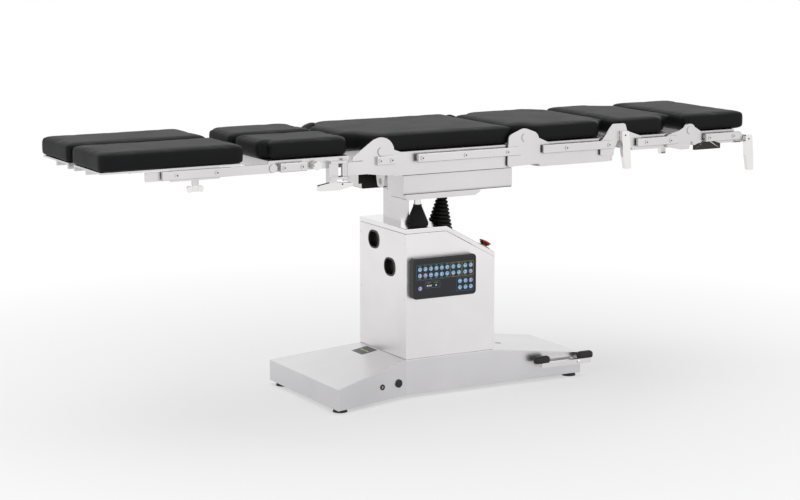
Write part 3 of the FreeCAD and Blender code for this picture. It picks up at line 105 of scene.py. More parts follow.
class Nodes:
    """Short hand for building one material."""

    def __init__(self, name):
        self.material = bpy.data.materials.new(name)
        self.material.use_nodes = True
        self.tree = self.material.node_tree
        self.shader = self.tree.nodes["Principled BSDF"]
        self.place = self.add("ShaderNodeTexCoord").outputs["Object"]

    def add(self, kind, **values):
        node = self.tree.nodes.new(kind)
        for key, value in values.items():
            if key in node.inputs:
                node.inputs[key].default_value = value
            else:
                setattr(node, key, value)
        return node

    def link(self, start, end):
        self.tree.links.new(start, end)

    def stretched(self, scale):
        mapping = self.add("ShaderNodeMapping")
        mapping.inputs["Scale"].default_value = scale
        self.link(self.place, mapping.inputs["Vector"])
        return mapping.outputs["Vector"]

    def noise(self, scale, detail=2.0, stretch=(1, 1, 1)):
        noise = self.add("ShaderNodeTexNoise", Scale=scale, Detail=detail)
        self.link(self.stretched(stretch), noise.inputs["Vector"])
        return noise.outputs["Fac"]

    def ramp(self, value, low, high, start=0.3, end=0.7):
        ramp = self.add("ShaderNodeValToRGB")
        ramp.color_ramp.elements[0].position = start
        ramp.color_ramp.elements[1].position = end
        ramp.color_ramp.elements[0].color = (*low, 1)
        ramp.color_ramp.elements[1].color = (*high, 1)
        self.link(value, ramp.inputs["Fac"])
        return ramp.outputs["Color"]

    def spread(self, value, low, high):
        spread = self.add("ShaderNodeMapRange")
        spread.inputs["To Min"].default_value = low
        spread.inputs["To Max"].default_value = high
        self.link(value, spread.inputs["Value"])
        return spread.outputs["Result"]

    def colour(self, value, colour, change):
        low = tuple(c * (1 - change) for c in colour)
        high = tuple(min(1, c * (1 + change)) for c in colour)
        self.link(self.ramp(value, low, high), self.shader.inputs["Base Color"])

    def roughness(self, value, low, high):
        self.link(self.spread(value, low, high), self.shader.inputs["Roughness"])

    def bump(self, value, depth, strength=1.0, normal=None):
        bump = self.add("ShaderNodeBump", Strength=strength, Distance=depth)
        self.link(value, bump.inputs["Height"])
        if normal:
            self.link(normal, bump.inputs["Normal"])
        self.link(bump.outputs["Normal"], self.shader.inputs["Normal"])
        return bump.outputs["Normal"]


def brushed(name, colour, stretch, low=0.26, high=0.40, change=0.04):
    """Satin steel with fine brush lines; stretch is small along the lines."""
    made = Nodes(name)
    made.shader.inputs["Metallic"].default_value = 1.0
    lines = made.noise(900, 3.0, stretch)
    cloud = made.noise(5, 2.0)
    made.colour(cloud, colour, change)
    made.roughness(lines, low, high)
    made.bump(lines, 0.00004)
    return made.material


def dull(name, colour, low, high, grain, depth, specular=0.5, change=0.12):
    """Plastic or rubber with a fine moulded grain."""
    made = Nodes(name)
    made.shader.inputs["Specular IOR Level"].default_value = specular
    made.colour(made.noise(9, 2.0), colour, change)
    made.roughness(made.noise(60, 2.0), low, high)
    made.bump(made.noise(grain, 2.0), depth)
    return made.material


def vinyl(name, colour):
    """Coated pad cover: a leather-like grain of small cells under a slow change of gloss."""
    made = Nodes(name)
    made.shader.inputs["Specular IOR Level"].default_value = 0.14
    made.colour(made.noise(4, 2.0), colour, 0.10)
    made.roughness(made.noise(12, 3.0), 0.46, 0.58)
    cells = made.add("ShaderNodeTexVoronoi", Scale=720.0)
    made.link(made.place, cells.inputs["Vector"])
    grain = made.bump(cells.outputs["Distance"], 0.00010, 0.55)
    made.bump(made.noise(38, 2.0), 0.00025, 0.35, grain)
    return made.material


# Dark steel for painted shade on the frames' lower and inner faces, and for the bar under the head frame
shade_and_bar_steel = brushed("shade_and_bar_steel", SHADE_AND_BAR_DARK, (0.05, 1, 1), 0.35, 0.50)
lid_steel = brushed("lid_steel", STEEL_COLUMN, BRUSHED_X, 0.10, 0.17)
side_steel = brushed("side_steel", STEEL, BRUSHED_X)
column_steel = brushed("column_steel", STEEL_COLUMN, BRUSHED_LEVEL)
base_steel = brushed("base_steel", STEEL_BASE, BRUSHED_X, 0.26, 0.38)
post_steel = brushed("post_steel", STEEL, BRUSHED_Z, 0.16, 0.28)
bright_steel = brushed("bright_steel", BRIGHT, (0.3, 0.3, 0.3), 0.12, 0.22)
inner_steel = brushed("inner_steel", CHASSIS, (0.1, 0.1, 1), 0.38, 0.52)
cast_steel = brushed("cast_steel", CHASSIS, (0.5, 0.5, 0.5), 0.42, 0.55, 0.08)
pad_vinyl = vinyl("pad_vinyl", VINYL)
boot_rubber = dull("boot_rubber", RUBBER, 0.55, 0.70, 500, 0.00006, 0.3)
tyre_rubber = dull("tyre_rubber", TYRE, 0.5, 0.65, 350, 0.0001, 0.4)
tread_rubber = dull("tread_rubber", TREAD_BLACK, 0.45, 0.6, 300, 0.0001, 0.4)
panel_plastic = dull("panel_plastic", PLASTIC, 0.30, 0.38, 900, 0.00002, 0.45)
key_film = dull("key_film", FILM, 0.32, 0.40, 900, 0.00001, 0.4)
liner_plastic = dull("liner_plastic", LINER, 0.35, 0.5, 600, 0.00003)
stop_red = dull("stop_red", RED, 0.22, 0.30, 700, 0.00001, 0.5, 0.04)
stop_yellow = dull("stop_yellow", YELLOW, 0.30, 0.40, 700, 0.00001, 0.5, 0.04)

FINISH = {
    base_steel: ["base_cover"],
    column_steel: ["column_cover", "column_lid"],
    post_steel: ["tilt_post"],
    side_steel: [
        "tilt_housing", "seat_frame", "back_frame", "upper_frame", "head_frame", *both("hip_arm"),
        *both("leg_frame"), *both("foot_bar"), *both("foot_carriage")],
    bright_steel: [
        "tilt_struts", "pedal_bar", "side_sockets", *both("back_lever"), *both("head_lever"),
        *both("clamp_lever"), *both("leg_knob"), *both("wing_screw")],
    inner_steel: ["column_guide", "lower_skirt", "mid_skirt", "base_frame"],
    cast_steel: ["castor_frame", "cross_block", *both("castor_fork")],
    boot_rubber: ["tilt_boots", "tilt_bellows"],
    tyre_rubber: ["fixed_wheels", *both("castor_wheel")],
    tread_rubber: ["pedal_pads", "leveling_feet"],
    liner_plastic: ["window_liners"],
    panel_plastic: ["control_panel", "indicator_window"],
    key_film: ["panel_keys"],
    stop_red: ["estop_button"],
    stop_yellow: ["estop_collar"],
}
for material, names in FINISH.items():
    for name in names:
        nodes[name].data.materials.clear()
        nodes[name].data.materials.append(material)

# Painted shade: faces of the frames that look down or inward get a dark steel that stands for the shade
# under and inside them; the same dark steel on the head frame's lower faces over a stretch of x is the bar
# under the head frame
PAINTED_SHADE_FRAMES = ["tilt_housing", "seat_frame", "back_frame", "upper_frame", "head_frame", *both("leg_frame")]
TURNED_AWAY = 0.7
TRACK_LEFT = 0.894
TRACK_RIGHT = 0.996
TRACK_TOP = 0.7168


def paint_shade_and_bar(name):
    mesh = nodes[name].data
    mesh.materials.append(shade_and_bar_steel)
    for face in mesh.polygons:
        middle = face.center
        inward = face.normal.y * middle.y < -TURNED_AWAY * abs(middle.y) and not name.startswith("leg")
        track = name == "head_frame" and TRACK_LEFT < middle.x < TRACK_RIGHT and middle.z < TRACK_TOP
        if inward or track or face.normal.z < -TURNED_AWAY:
            face.material_index = 1


# Painted shade on the frames' lower and inner faces
for name in PAINTED_SHADE_FRAMES:
    paint_shade_and_bar(name)


def shade(obj, angle=30):
    """Smooth curved faces and keep the edges between flat ones."""
    edges = bmesh.new()
    edges.from_mesh(obj.data)
    for face in edges.faces:
        face.smooth = True
    for edge in edges.edges:
        edge.smooth = edge.calc_face_angle(math.pi) < math.radians(angle)
    edges.to_mesh(obj.data)
    edges.free()


# Pads

PAD_BODY = {
    "seat_pad": "seat", "back_pad": "back", "upper_pad": "upper_back", "head_pad": "head",
    "leg_pad_left": "leg_left", "leg_pad_right": "leg_right",
    "foot_pad_left": "foot_section_left", "foot_pad_right": "foot_section_right"}
PAD_INSET = 0.0015
VOXEL = 0.006
SMOOTHING = 6
PRESSURE = 4.0
SWELL_FRAMES = 20
SWELL = 0.004


def modified(obj):
    """Applies the object's modifiers to its mesh."""
    graph = bpy.context.evaluated_depsgraph_get()
    mesh = bpy.data.meshes.new_from_object(obj.evaluated_get(graph))
    obj.modifiers.clear()
    obj.data = mesh


def inset(obj, amount):
    """Moves each side of the shape in by the amount, towards the middle of its box."""
    low, high = (Vector(f(v.co[i] for v in obj.data.vertices) for i in range(3)) for f in (min, max))
    middle = (low + high) / 2
    size = high - low
    for vertex in obj.data.vertices:
        for i in range(3):
            vertex.co[i] = middle[i] + (vertex.co[i] - middle[i]) * (size[i] - 2 * amount) / size[i]


def inflate(obj):
    """Lets the pad swell under a little pressure, with each point held near its start."""
    start = [vertex.co.copy() for vertex in obj.data.vertices]
    cloth = obj.modifiers.new("cloth", "CLOTH")
    cloth.settings.effector_weights.gravity = 0
    cloth.settings.use_pressure = True
    cloth.settings.uniform_pressure_force = PRESSURE
    cloth.settings.quality = 4
    cloth.point_cache.frame_start = 1
    cloth.point_cache.frame_end = SWELL_FRAMES
    for step in range(1, SWELL_FRAMES + 1):
        scene.frame_set(step)
    modified(obj)
    scene.frame_set(1)
    for vertex, before in zip(obj.data.vertices, start):
        move = vertex.co - before
        if move.length > SWELL:
            vertex.co = before + move.normalized() * SWELL


def pad(name, body):
    """Soft pad that stands for the CAD pad: rounded, swollen and smoothed."""
    source = nodes[name]
    made = bpy.data.objects.new(name + "_soft", source.data.copy())
    scene.collection.objects.link(made)
    inset(made, PAD_INSET)
    remesh = made.modifiers.new("remesh", "REMESH")
    remesh.mode = "VOXEL"
    remesh.voxel_size = VOXEL
    smooth = made.modifiers.new("smooth", "SMOOTH")
    smooth.factor = 0.5
    smooth.iterations = SMOOTHING
    modified(made)
    inflate(made)
    surface = made.modifiers.new("surface", "SUBSURF")
    surface.levels = 1
    surface.render_levels = 1
    modified(made)
    for polygon in made.data.polygons:
        polygon.use_smooth = True
    made.data.materials.clear()
    made.data.materials.append(pad_vinyl)
    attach(made, body)
    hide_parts(name)
    return made


for name, body in PAD_BODY.items():
    pad(name, body)

# Small pieces

NEAR_SIDE = (X, Z)
LEFT_FACE = (-Y, Z)


def round_rect(width, height, radius, steps=5):
    """Outline of a rounded rectangle about its middle."""
    points = []
    for turn, (u, v) in enumerate(((1, 1), (-1, 1), (-1, -1), (1, -1))):
        for step in range(steps + 1):
            angle = math.pi / 2 * (turn + step / steps)
            points.append((u * (width / 2 - radius) + radius * math.cos(angle),
                           v * (height / 2 - radius) + radius * math.sin(angle)))
    return points


def circle(radius, count=28):
    return [(radius * math.cos(2 * math.pi * i / count), radius * math.sin(2 * math.pi * i / count))
            for i in range(count)]


def facing(side):
    """Sign of a side, with directions along and up a face that looks out to that side."""
    if side == "left":
        return -1, (X, Z)
    return 1, (-X, Z)


def corners_at(mesh, place, axes, outline, lift):
    """Corners of an outline that lies at a height over its place."""
    right, up = axes
    out = right.cross(up)
    return [mesh.verts.new(Vector(place) + right * u + up * v + out * lift) for u, v in outline]


def join(mesh, low, high):
    """Faces between two rings of corners."""
    for i in range(len(low)):
        j = (i + 1) % len(low)
        mesh.faces.new((low[i], low[j], high[j], high[i]))


def placed(name, mesh):
    """Object of the scene made from a finished mesh."""
    data = bpy.data.meshes.new(name)
    mesh.to_mesh(data)
    mesh.free()
    made = bpy.data.objects.new(name, data)
    scene.collection.objects.link(made)
    return made


def plates(name, shapes, axes, depth, material, body, bevel=0.0):
    """One piece made of flat shapes; each has its place, its outline and perhaps a hole's outline."""
    mesh = bmesh.new()
    for place, outline, *hole in shapes:
        rings = [[corners_at(mesh, place, axes, corners, lift) for lift in (0, depth)]
                 for corners in (outline, *hole)]
        for level in (0, 1):
            if hole:
                join(mesh, rings[0][level], rings[1][level])
            else:
                mesh.faces.new(rings[0][level])
        for low, high in rings:
            join(mesh, low, high)
    bmesh.ops.recalc_face_normals(mesh, faces=mesh.faces)
    made = placed(name, mesh)
    if bevel:
        edge = made.modifiers.new("edge", "BEVEL")
        edge.width = bevel
        edge.segments = 2
        edge.limit_method = "ANGLE"
    made.data.materials.append(material)
    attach(made, body)
    return made


def stacked(name, place, axes, rings, material, body):
    """Piece made of rings over each other: each ring is an outline and its height."""
    mesh = bmesh.new()
    levels = [corners_at(mesh, place, axes, outline, height) for outline, height in rings]
    for low, high in zip(levels, levels[1:]):
        join(mesh, low, high)
    mesh.faces.new(levels[0])
    mesh.faces.new(levels[-1])
    bmesh.ops.recalc_face_normals(mesh, faces=mesh.faces)
    made = placed(name, mesh)
    made.data.materials.append(material)
    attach(made, body)
    shade(made)
    return made


def revolved(name, place, axis, profile, material, body, count=40):
    """Turned piece: the profile is pairs of radius and height along the axis from its place."""
    turn = Vector(axis).to_track_quat("Z", "Y").to_matrix()
    rings = [(circle(radius, count), height) for radius, height in profile]
    return stacked(name, place, (turn.col[0], turn.col[1]), rings, material, body)


def flat(name, colour, roughness=0.35, glow=0.0):
    """Printed or moulded colour, and the dark of painted shade in hollows, with a slight unevenness."""
    made = Nodes(name)
    made.colour(made.noise(30, 2.0), colour, 0.06)
    made.roughness(made.noise(80, 2.0), roughness - 0.04, roughness + 0.04)
    made.bump(made.noise(900, 2.0), 0.00001)
    if glow:
        made.shader.inputs["Emission Color"].default_value = (*colour, 1)
        made.shader.inputs["Emission Strength"].default_value = glow
    return made.material


# Dark of painted shade, for the screw sockets, the slot and the screw dots, which are hollows
painted_recess_shade = flat("painted_recess_shade", (0.05, 0.045, 0.045), 0.5)
key_blue = flat("key_blue", (0.28, 0.56, 0.80))
key_lilac = flat("key_lilac", (0.38, 0.42, 0.74))
key_white = flat("key_white", (0.85, 0.88, 0.92))
key_ink = flat("key_ink", (0.035, 0.05, 0.10))
line_blue = flat("line_blue", (0.035, 0.14, 0.27))
line_olive = flat("line_olive", (0.30, 0.27, 0.02))
lamp_green = flat("lamp_green", (0.10, 0.42, 0.08), 0.3, 0.25)
lamp_amber = flat("lamp_amber", (0.65, 0.30, 0.04), 0.3, 0.25)
brass = brushed("brass", BRASS, (0.4, 0.4, 0.4), 0.2, 0.3)
black_neck = dull("black_neck", (0.010, 0.010, 0.010), 0.35, 0.45, 700, 0.00002)

# Painted shade: a flat dark hexagon in each rail screw and each hinge cap stands for the shade in its socket
RAIL_FACE = 0.2390
RAIL_HIGH = 0.7365
SCREW_HEX = 0.0026
RAIL_SCREWS = {
    "seat": [-0.100, 0.046, 0.192], "back": [0.401, 0.556], "upper_back": [0.696, 0.788],
    "head": [0.938, 1.031], "hip_left": [-0.239, -0.201], "leg_left": [-0.546, -0.489],
    "foot_section_left": [-0.8725, -0.7525]}
for body, places in RAIL_SCREWS.items():
    for side in SIDES:
        sign, axes = facing(side)
        rider = body.replace("_left", "_" + side)
        hexes = [((x, sign * RAIL_FACE, RAIL_HIGH), circle(SCREW_HEX, 6)) for x in places]
        name = "screw_sockets_" + body.replace("_left", "") + "_" + side
        plates(name, hexes, axes, 0.00015, painted_recess_shade, rider)

# Folded sheet covers with crisp corners: base, column and lid
SHEET_WALL = 0.003
FOLD = 0.0018
BASE_LEFT = -0.377
BASE_RIGHT = 0.521
BASE_WIDE = 0.230
BASE_LOW = 0.011
BASE_END = 0.076
BASE_HIGH = 0.118
GUIDE_WELL_X = -0.012
GUIDE_WELL = (0.158, 0.180)
HOLE_CORNER = 0.0005
COLUMN_LEFT = -0.105
COLUMN_RIGHT = 0.2027
COLUMN_HALF = 0.147
COLUMN_FOOT = 0.1185
COLUMN_TOP = 0.514
SLANT_X = 0.033
SLANT_LOW = 0.421
SLOPE = (COLUMN_TOP - SLANT_LOW) / (COLUMN_RIGHT - SLANT_X)
COLUMN_STATIONS = (COLUMN_LEFT, SLANT_X, COLUMN_RIGHT)
LID_HIGH = 0.015
LID_LIP = 0.0006
LID_SEAM = 0.0005
OVALS = ((0.055, 0.456), (-0.045, 0.386))
OVAL = (0.062, 0.050, 0.0235)
CUT_DEPTH = 0.010


def cut(obj, place, axes, outline, depth):
    """Cuts a prism out of the piece, to the depth on both sides of the outline's plane."""
    mesh = bmesh.new()
    ends = [corners_at(mesh, place, axes, outline, lift) for lift in (-depth, depth)]
    for end in ends:
        mesh.faces.new(end)
    join(mesh, *ends)
    bmesh.ops.recalc_face_normals(mesh, faces=mesh.faces)
    cutter = placed("cutter", mesh)
    hole = obj.modifiers.new("hole", "BOOLEAN")
    hole.object = cutter
    hole.solver = "EXACT"
    modified(obj)
    bpy.data.objects.remove(cutter)


def folded(name, stations, roof, material, body):
    """Cover of folded sheet, open below; a station gives x, half-width, lower edge and top."""
    mesh = bmesh.new()
    rings = []
    for x, half, low, high in stations:
        corners = ((x, -half, low), (x, -half, high), (x, half, high), (x, half, low))
        rings.append([mesh.verts.new(corner) for corner in corners])
    for first, second in zip(rings, rings[1:]):
        for i in range(3):
            if roof or i != 1:
                mesh.faces.new((first[i], first[i + 1], second[i + 1], second[i]))
    left_end = mesh.faces.new(rings[0])
    mesh.faces.new(rings[-1])
    bmesh.ops.recalc_face_normals(mesh, faces=mesh.faces)
    if left_end.normal.x > 0:
        bmesh.ops.reverse_faces(mesh, faces=mesh.faces)
    made = placed(name, mesh)
    wall = made.modifiers.new("wall", "SOLIDIFY")
    wall.thickness = SHEET_WALL
    wall.offset = -1
    wall.use_even_offset = True
    fold = made.modifiers.new("fold", "BEVEL")
    fold.width = FOLD
    fold.segments = 3
    fold.limit_method = "ANGLE"
    fold.angle_limit = math.radians(40)
    modified(made)
    made.data.materials.clear()
    made.data.materials.append(material)
    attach(made, body)
    return made


def lid_top(x):
    return COLUMN_TOP - max(0, x - SLANT_X) * SLOPE


base_shell = folded("base_shell", (
    (BASE_LEFT, BASE_WIDE, BASE_LOW, BASE_END), (COLUMN_LEFT, COLUMN_HALF, BASE_LOW, BASE_HIGH),
    (COLUMN_RIGHT, COLUMN_HALF, BASE_LOW, BASE_HIGH), (BASE_RIGHT, COLUMN_HALF, BASE_LOW, BASE_END)),
    True, base_steel, "base")
window_low, window_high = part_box("indicator_window")
window_middle = (window_low + window_high) / 2
window_size = window_high - window_low
window_hole = round_rect(window_size.x, window_size.y, HOLE_CORNER, 1)
cut(base_shell, window_middle, (X, Y), window_hole, 3 * CUT_DEPTH)
cut(base_shell, (GUIDE_WELL_X, 0, BASE_HIGH), (X, Y), round_rect(*GUIDE_WELL, HOLE_CORNER, 1), CUT_DEPTH)
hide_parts("base_cover")
shade(base_shell, CRISP)

column_shell = folded("column_shell", [
    (x, COLUMN_HALF, COLUMN_FOOT, lid_top(x) - LID_HIGH - LID_SEAM) for x in COLUMN_STATIONS],
    False, column_steel, "lift")
for y, z in OVALS:
    cut(column_shell, (COLUMN_LEFT, y, z), (Y, Z), round_rect(*OVAL, 8), CUT_DEPTH)
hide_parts("column_cover")
shade(column_shell, CRISP)

lid_shell = folded("lid_shell", [
    (x, COLUMN_HALF + LID_LIP, lid_top(x) - LID_HIGH, lid_top(x)) for x in COLUMN_STATIONS],
    True, lid_steel, "lift")
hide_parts("column_lid")

# Bellows with sharp pleats, cut to the lid's slope
PLEATS = 13
PLEAT_HIGH = 0.0113
PLEAT_DEEP = 0.0035
PLEAT_LIP = 0.0012
PLEAT_BOTTOM_R = 0.0490
PLEAT_TOP_R = 0.0145
PLEAT_BOTTOM = Vector((0.090, 0, 0.446))
PLEAT_AXIS = Vector((0.09, 0, 1)).normalized()
profile = []
for fold in range(PLEATS):
    radius = PLEAT_BOTTOM_R + (PLEAT_TOP_R - PLEAT_BOTTOM_R) * fold / (PLEATS - 1)
    profile.append((radius - PLEAT_DEEP, fold * PLEAT_HIGH))
    profile.append((radius, (fold + 0.35) * PLEAT_HIGH))
    profile.append((radius - PLEAT_LIP, (fold + 0.75) * PLEAT_HIGH))
bellows = revolved("bellows", PLEAT_BOTTOM, PLEAT_AXIS, profile, boot_rubber, "lift", 48)
mesh = bmesh.new()
mesh.from_mesh(bellows.data)
bmesh.ops.bisect_plane(
    mesh, geom=mesh.verts[:] + mesh.edges[:] + mesh.faces[:], plane_co=(SLANT_X, 0, COLUMN_TOP),
    plane_no=(SLOPE, 0, 1), clear_inner=True)
mesh.to_mesh(bellows.data)
mesh.free()
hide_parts("tilt_bellows")

# Pivot of the pedal bar on the base, and its domed treads: inset and height of each ring
PEDAL_PIVOT = (0.495, -0.146, 0.054)
TREAD_Y = -0.170
TREAD_LOW = 0.062
TREAD_LONG = 0.055
TREAD_WIDE = 0.026
TREAD_CORNER = 0.0118
TREAD_RINGS = (
    (0.0045, 0.0), (0.0012, 0.0015), (0.0, 0.007), (0.0, 0.0125), (0.0012, 0.0165), (0.0040, 0.0195),
    (0.0080, 0.0212), (TREAD_CORNER, 0.0218))
revolved("pedal_boss", PEDAL_PIVOT, -Y, [
    (0.0075, 0.0), (0.0075, 0.0165), (0.0040, 0.0165), (0.0040, 0.0315), (0.0060, 0.0315), (0.0060, 0.0345),
    (0.0050, 0.0350)], bright_steel, "base")
for name, x in (("tread_left", 0.3625), ("tread_right", 0.5215)):
    rings = []
    for inside, height in TREAD_RINGS:
        corner = TREAD_CORNER - inside * 0.98
        rings.append((round_rect(TREAD_LONG - 2 * inside, TREAD_WIDE - 2 * inside, corner, 6), height))
    tread = stacked(name, (x, TREAD_Y, TREAD_LOW), (X, Y), rings, tread_rubber, "pedal")
    if name == "tread_left":
        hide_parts("pedal_pads")

# Print on the key sheet: key faces, signs, frames and marks
SHEET = -0.1680
KEY_FACE = -0.1690
KEY_R = 0.0066
KEY_THICK = 0.00012
PRINT = 0.0001
BAR_HALF = 0.0040
ARROW_HALF = 0.0020
COLUMNS = (-0.0707, -0.0518, -0.0329, -0.0142, 0.0045, 0.0232, 0.0442, 0.0636, 0.0856, 0.1051)
ROWS = (0.3933, 0.3742)
SMALL_COLUMNS = (0.0675, 0.0870, 0.1057)
SMALL_ROWS = (0.3471, 0.3278)
LONE_KEY = (-0.0697, 0.3358)
LILAC = ((1, 1), (9, 1))
keys = [(x, z) for z in ROWS for x in COLUMNS] + [(x, z) for z in SMALL_ROWS for x in SMALL_COLUMNS]
lilac_keys = [(COLUMNS[i], ROWS[j]) for i, j in LILAC] + [(SMALL_COLUMNS[2], SMALL_ROWS[0]), LONE_KEY]
blue_keys = [spot for spot in keys if spot not in lilac_keys]


def spun(points, angle):
    return [(u * math.cos(angle) - v * math.sin(angle), u * math.sin(angle) + v * math.cos(angle))
            for u, v in points]


def key_signs(spots):
    """A short bar with an arrow head beside it, turned a step further on each key."""
    bars, arrows = [], []
    for index, (x, z) in enumerate(spots):
        angle = index * math.pi / 4
        place = (x, KEY_FACE - KEY_THICK, z)
        bar = [(-BAR_HALF, -0.0016), (BAR_HALF, -0.0016), (BAR_HALF, -0.0004), (-BAR_HALF, -0.0004)]
        arrow = [(-ARROW_HALF, 0.0008), (ARROW_HALF, 0.0008), (0.0, 0.0038)]
        bars.append((place, spun(bar, angle)))
        arrows.append((place, spun(arrow, angle)))
    return bars, arrows


for name, spots, material in (("blue", blue_keys, key_blue), ("lilac", lilac_keys, key_lilac)):
    faces = [((x, KEY_FACE, z), circle(KEY_R, 24)) for x, z in spots]
    plates("key_faces_" + name, faces, NEAR_SIDE, KEY_THICK, material, "lift")
bars, arrows = key_signs(keys + [LONE_KEY])
plates("key_bars", bars, NEAR_SIDE, 0.00008, key_white, "lift")
plates("key_arrows", arrows, NEAR_SIDE, 0.00008, key_ink, "lift")


def ring_frame(left, right, low, high, line=0.0009):
    """Printed frame between two rounded rectangles."""
    place = ((left + right) / 2, SHEET, (low + high) / 2)
    return (place, round_rect(right - left, high - low, 0.004),
            round_rect(right - left - 2 * line, high - low - 2 * line, 0.004 - line))


blue_frames = [
    ring_frame(-0.0823, 0.0330, 0.3600, 0.4072), ring_frame(-0.0528, -0.0006, 0.3349, 0.3555),
    ring_frame(0.0548, 0.1160, 0.3160, 0.3575)]
olive_frames = [ring_frame(0.0345, 0.0738, 0.3615, 0.4065), ring_frame(0.0757, 0.1160, 0.3615, 0.4065)]
plates("frames_blue", blue_frames, NEAR_SIDE, PRINT, line_blue, "lift")
plates("frames_olive", olive_frames, NEAR_SIDE, PRINT, line_olive, "lift")
marks = [((x, SHEET, z), round_rect(0.009, 0.0013, 0.0005, 2)) for x in COLUMNS for z in (0.4032, 0.3642)]
plates("key_marks", marks, NEAR_SIDE, PRINT, line_olive, "lift")
marks = [((x, SHEET, 0.3505), round_rect(0.014, 0.0014, 0.0005, 2)) for x in (-0.040, -0.014)]
plates("display_marks", marks, NEAR_SIDE, PRINT, line_olive, "lift")
lamps = [((x, SHEET, 0.3420), round_rect(0.0042, 0.0042, 0.0008, 2))
         for x in (-0.0445, -0.0385, -0.0325, -0.0145)]
plates("display_lamps", lamps, NEAR_SIDE, 2 * PRINT, key_white, "lift")

# Rivets of the column's left face
rivets = [((COLUMN_LEFT, y, z), circle(0.0022, 16)) for y in (0.136, -0.136) for z in (0.140, 0.300, 0.470)]
plates("column_rivets", rivets, LEFT_FACE, 0.0004, side_steel, "lift", 0.0001)

# Stop button: red cap on a black neck
SLANT = Vector((SLOPE, 0, 1)).normalized()
STOP_X = 0.180
STOP_FOOT = Vector((STOP_X, -0.115, lid_top(STOP_X)))
STOP_HOLE = 0.0112
CAP_HIGH = 0.020
cut(lid_shell, STOP_FOOT, (Y, SLANT.cross(Y)), circle(STOP_HOLE), 2 * CUT_DEPTH)
shade(lid_shell, CRISP)
stop_low = min(SLANT.dot(v.co - STOP_FOOT) for v in nodes["estop_button"].data.vertices)
stop_high = max(SLANT.dot(v.co - STOP_FOOT) for v in nodes["estop_button"].data.vertices)
cap_foot = STOP_FOOT + SLANT * (stop_high - CAP_HIGH)
stop_cap = revolved(
    "stop_cap", cap_foot, SLANT,
    [(0.0140, 0.0128), (0.0160, 0.0132), (0.0188, 0.0152), (0.0190, 0.0168), (0.0180, 0.0184),
     (0.0140, 0.0196), (0.0070, CAP_HIGH)], stop_red, "estop")
stop_neck = revolved(
    "stop_neck", cap_foot, SLANT,
    [(0.0108, stop_low - stop_high + CAP_HIGH), (0.0108, 0.0096), (0.0150, 0.0096), (0.0152, 0.0110),
     (0.0140, 0.0130)], black_neck, "estop")
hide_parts("estop_button")


def on_top(node, x, y):
    """Point of a node's upper surface at x and y, with directions along and across the surface there."""
    mesh = nodes[node].data
    tree = BVHTree.FromPolygons([v.co for v in mesh.vertices], [p.vertices for p in mesh.polygons])
    place, normal, _, _ = tree.ray_cast(Vector((x, y, 2.0)), -Z)
    along = (X - normal * X.dot(normal)).normalized()
    return place, (along, normal.cross(along))


# Charge lamps behind the base's window, and a flat dark plate of painted shade for the slot in the base's
# other end
LAMP_STEP = 0.010
lamp_places = [on_top("indicator_window", window_middle.x, window_middle.y + (2 - i) * LAMP_STEP)
               for i in range(5)]
for name, chosen, material in (("green", (1, 2, 3), lamp_green), ("amber", (0, 4), lamp_amber)):
    shapes = [(lamp_places[i][0], round_rect(0.006, 0.008, 0.001, 2)) for i in chosen]
    plates("charge_lamps_" + name, shapes, lamp_places[0][1], 0.0002, material, "base")
slot_place, slot_axes = on_top("base_cover", 0.290, -0.030)
plates("base_slot", [(slot_place, round_rect(0.022, 0.010, 0.0049))], slot_axes, 0.0003, painted_recess_shade, "base")

# Earthing socket and rubber cap on the base's near side
SOCKET_OUT = Vector((BASE_WIDE - COLUMN_HALF, BASE_LEFT - COLUMN_LEFT, 0)).normalized()
SOCKET_BACK = 0.004
BETWEEN_SOCKETS = -0.17
low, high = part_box("side_sockets")
ACROSS = SOCKET_OUT.cross(Z)


def socket_place(near_left):
    """Point of a socket's axis on the base's side, from the CAD ring there."""
    spots = [v.co for v in nodes["side_sockets"].data.vertices if (v.co.x < BETWEEN_SOCKETS) == near_left]
    middle = (min(map(ACROSS.dot, spots)) + max(map(ACROSS.dot, spots))) / 2
    return ACROSS * middle + SOCKET_OUT * min(map(SOCKET_OUT.dot, spots)) + Z * (low.z + high.z) / 2


socket_cap = revolved(
    "socket_cap", socket_place(False), SOCKET_OUT,
    [(0.0125, -SOCKET_BACK), (0.0125, 0.0030), (0.0118, 0.0042), (0.0086, 0.0050), (0.0082, 0.0044),
     (0.0030, 0.0046)], tread_rubber, "base")
socket_ring = revolved(
    "socket_ring", socket_place(True), SOCKET_OUT,
    [(0.0050, -0.0010), (0.0052, 0.0024), (0.0080, 0.0024), (0.0086, 0.0016), (0.0088, -SOCKET_BACK),
     (0.0050, -SOCKET_BACK)], tread_rubber, "base")
revolved("socket_pin", socket_place(True), SOCKET_OUT,
         [(0.0026, -SOCKET_BACK), (0.0026, 0.0012), (0.0020, 0.0020), (0.0006, 0.0022)], brass, "base")
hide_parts("side_sockets")

# Screw dots on the release levers and clamp levers: flat dark discs of painted shade for the screws' sockets
LEVER_FACE = 0.2415
DOT_R = 0.0028
LEVER_DOTS = (("back_lever", 0.612, 0.763), ("head_lever", 1.088, 0.7245), ("clamp_lever", -0.366, 0.679))
for body, x, z in LEVER_DOTS:
    for side in SIDES:
        sign, axes = facing(side)
        dot = ((x, sign * LEVER_FACE, z), circle(DOT_R, 16))
        plates("lever_dot_" + body + "_" + side, [dot], axes, 0.0003, painted_recess_shade, body + "_" + side, 0.0001)


# Floor, lights, backdrop and camera

def seen_directly(tree):
    """1 for camera, glossy and transmission rays, and 0 for the rays that carry light."""
    path = tree.nodes.new("ShaderNodeLightPath")
    value = path.outputs["Is Camera Ray"]
    for name in ("Is Glossy Ray", "Is Transmission Ray"):
        both_of = tree.nodes.new("ShaderNodeMath")
        both_of.operation = "MAXIMUM"
        tree.links.new(value, both_of.inputs[0])
        tree.links.new(path.outputs[name], both_of.inputs[1])
        value = both_of.outputs[0]
    return value


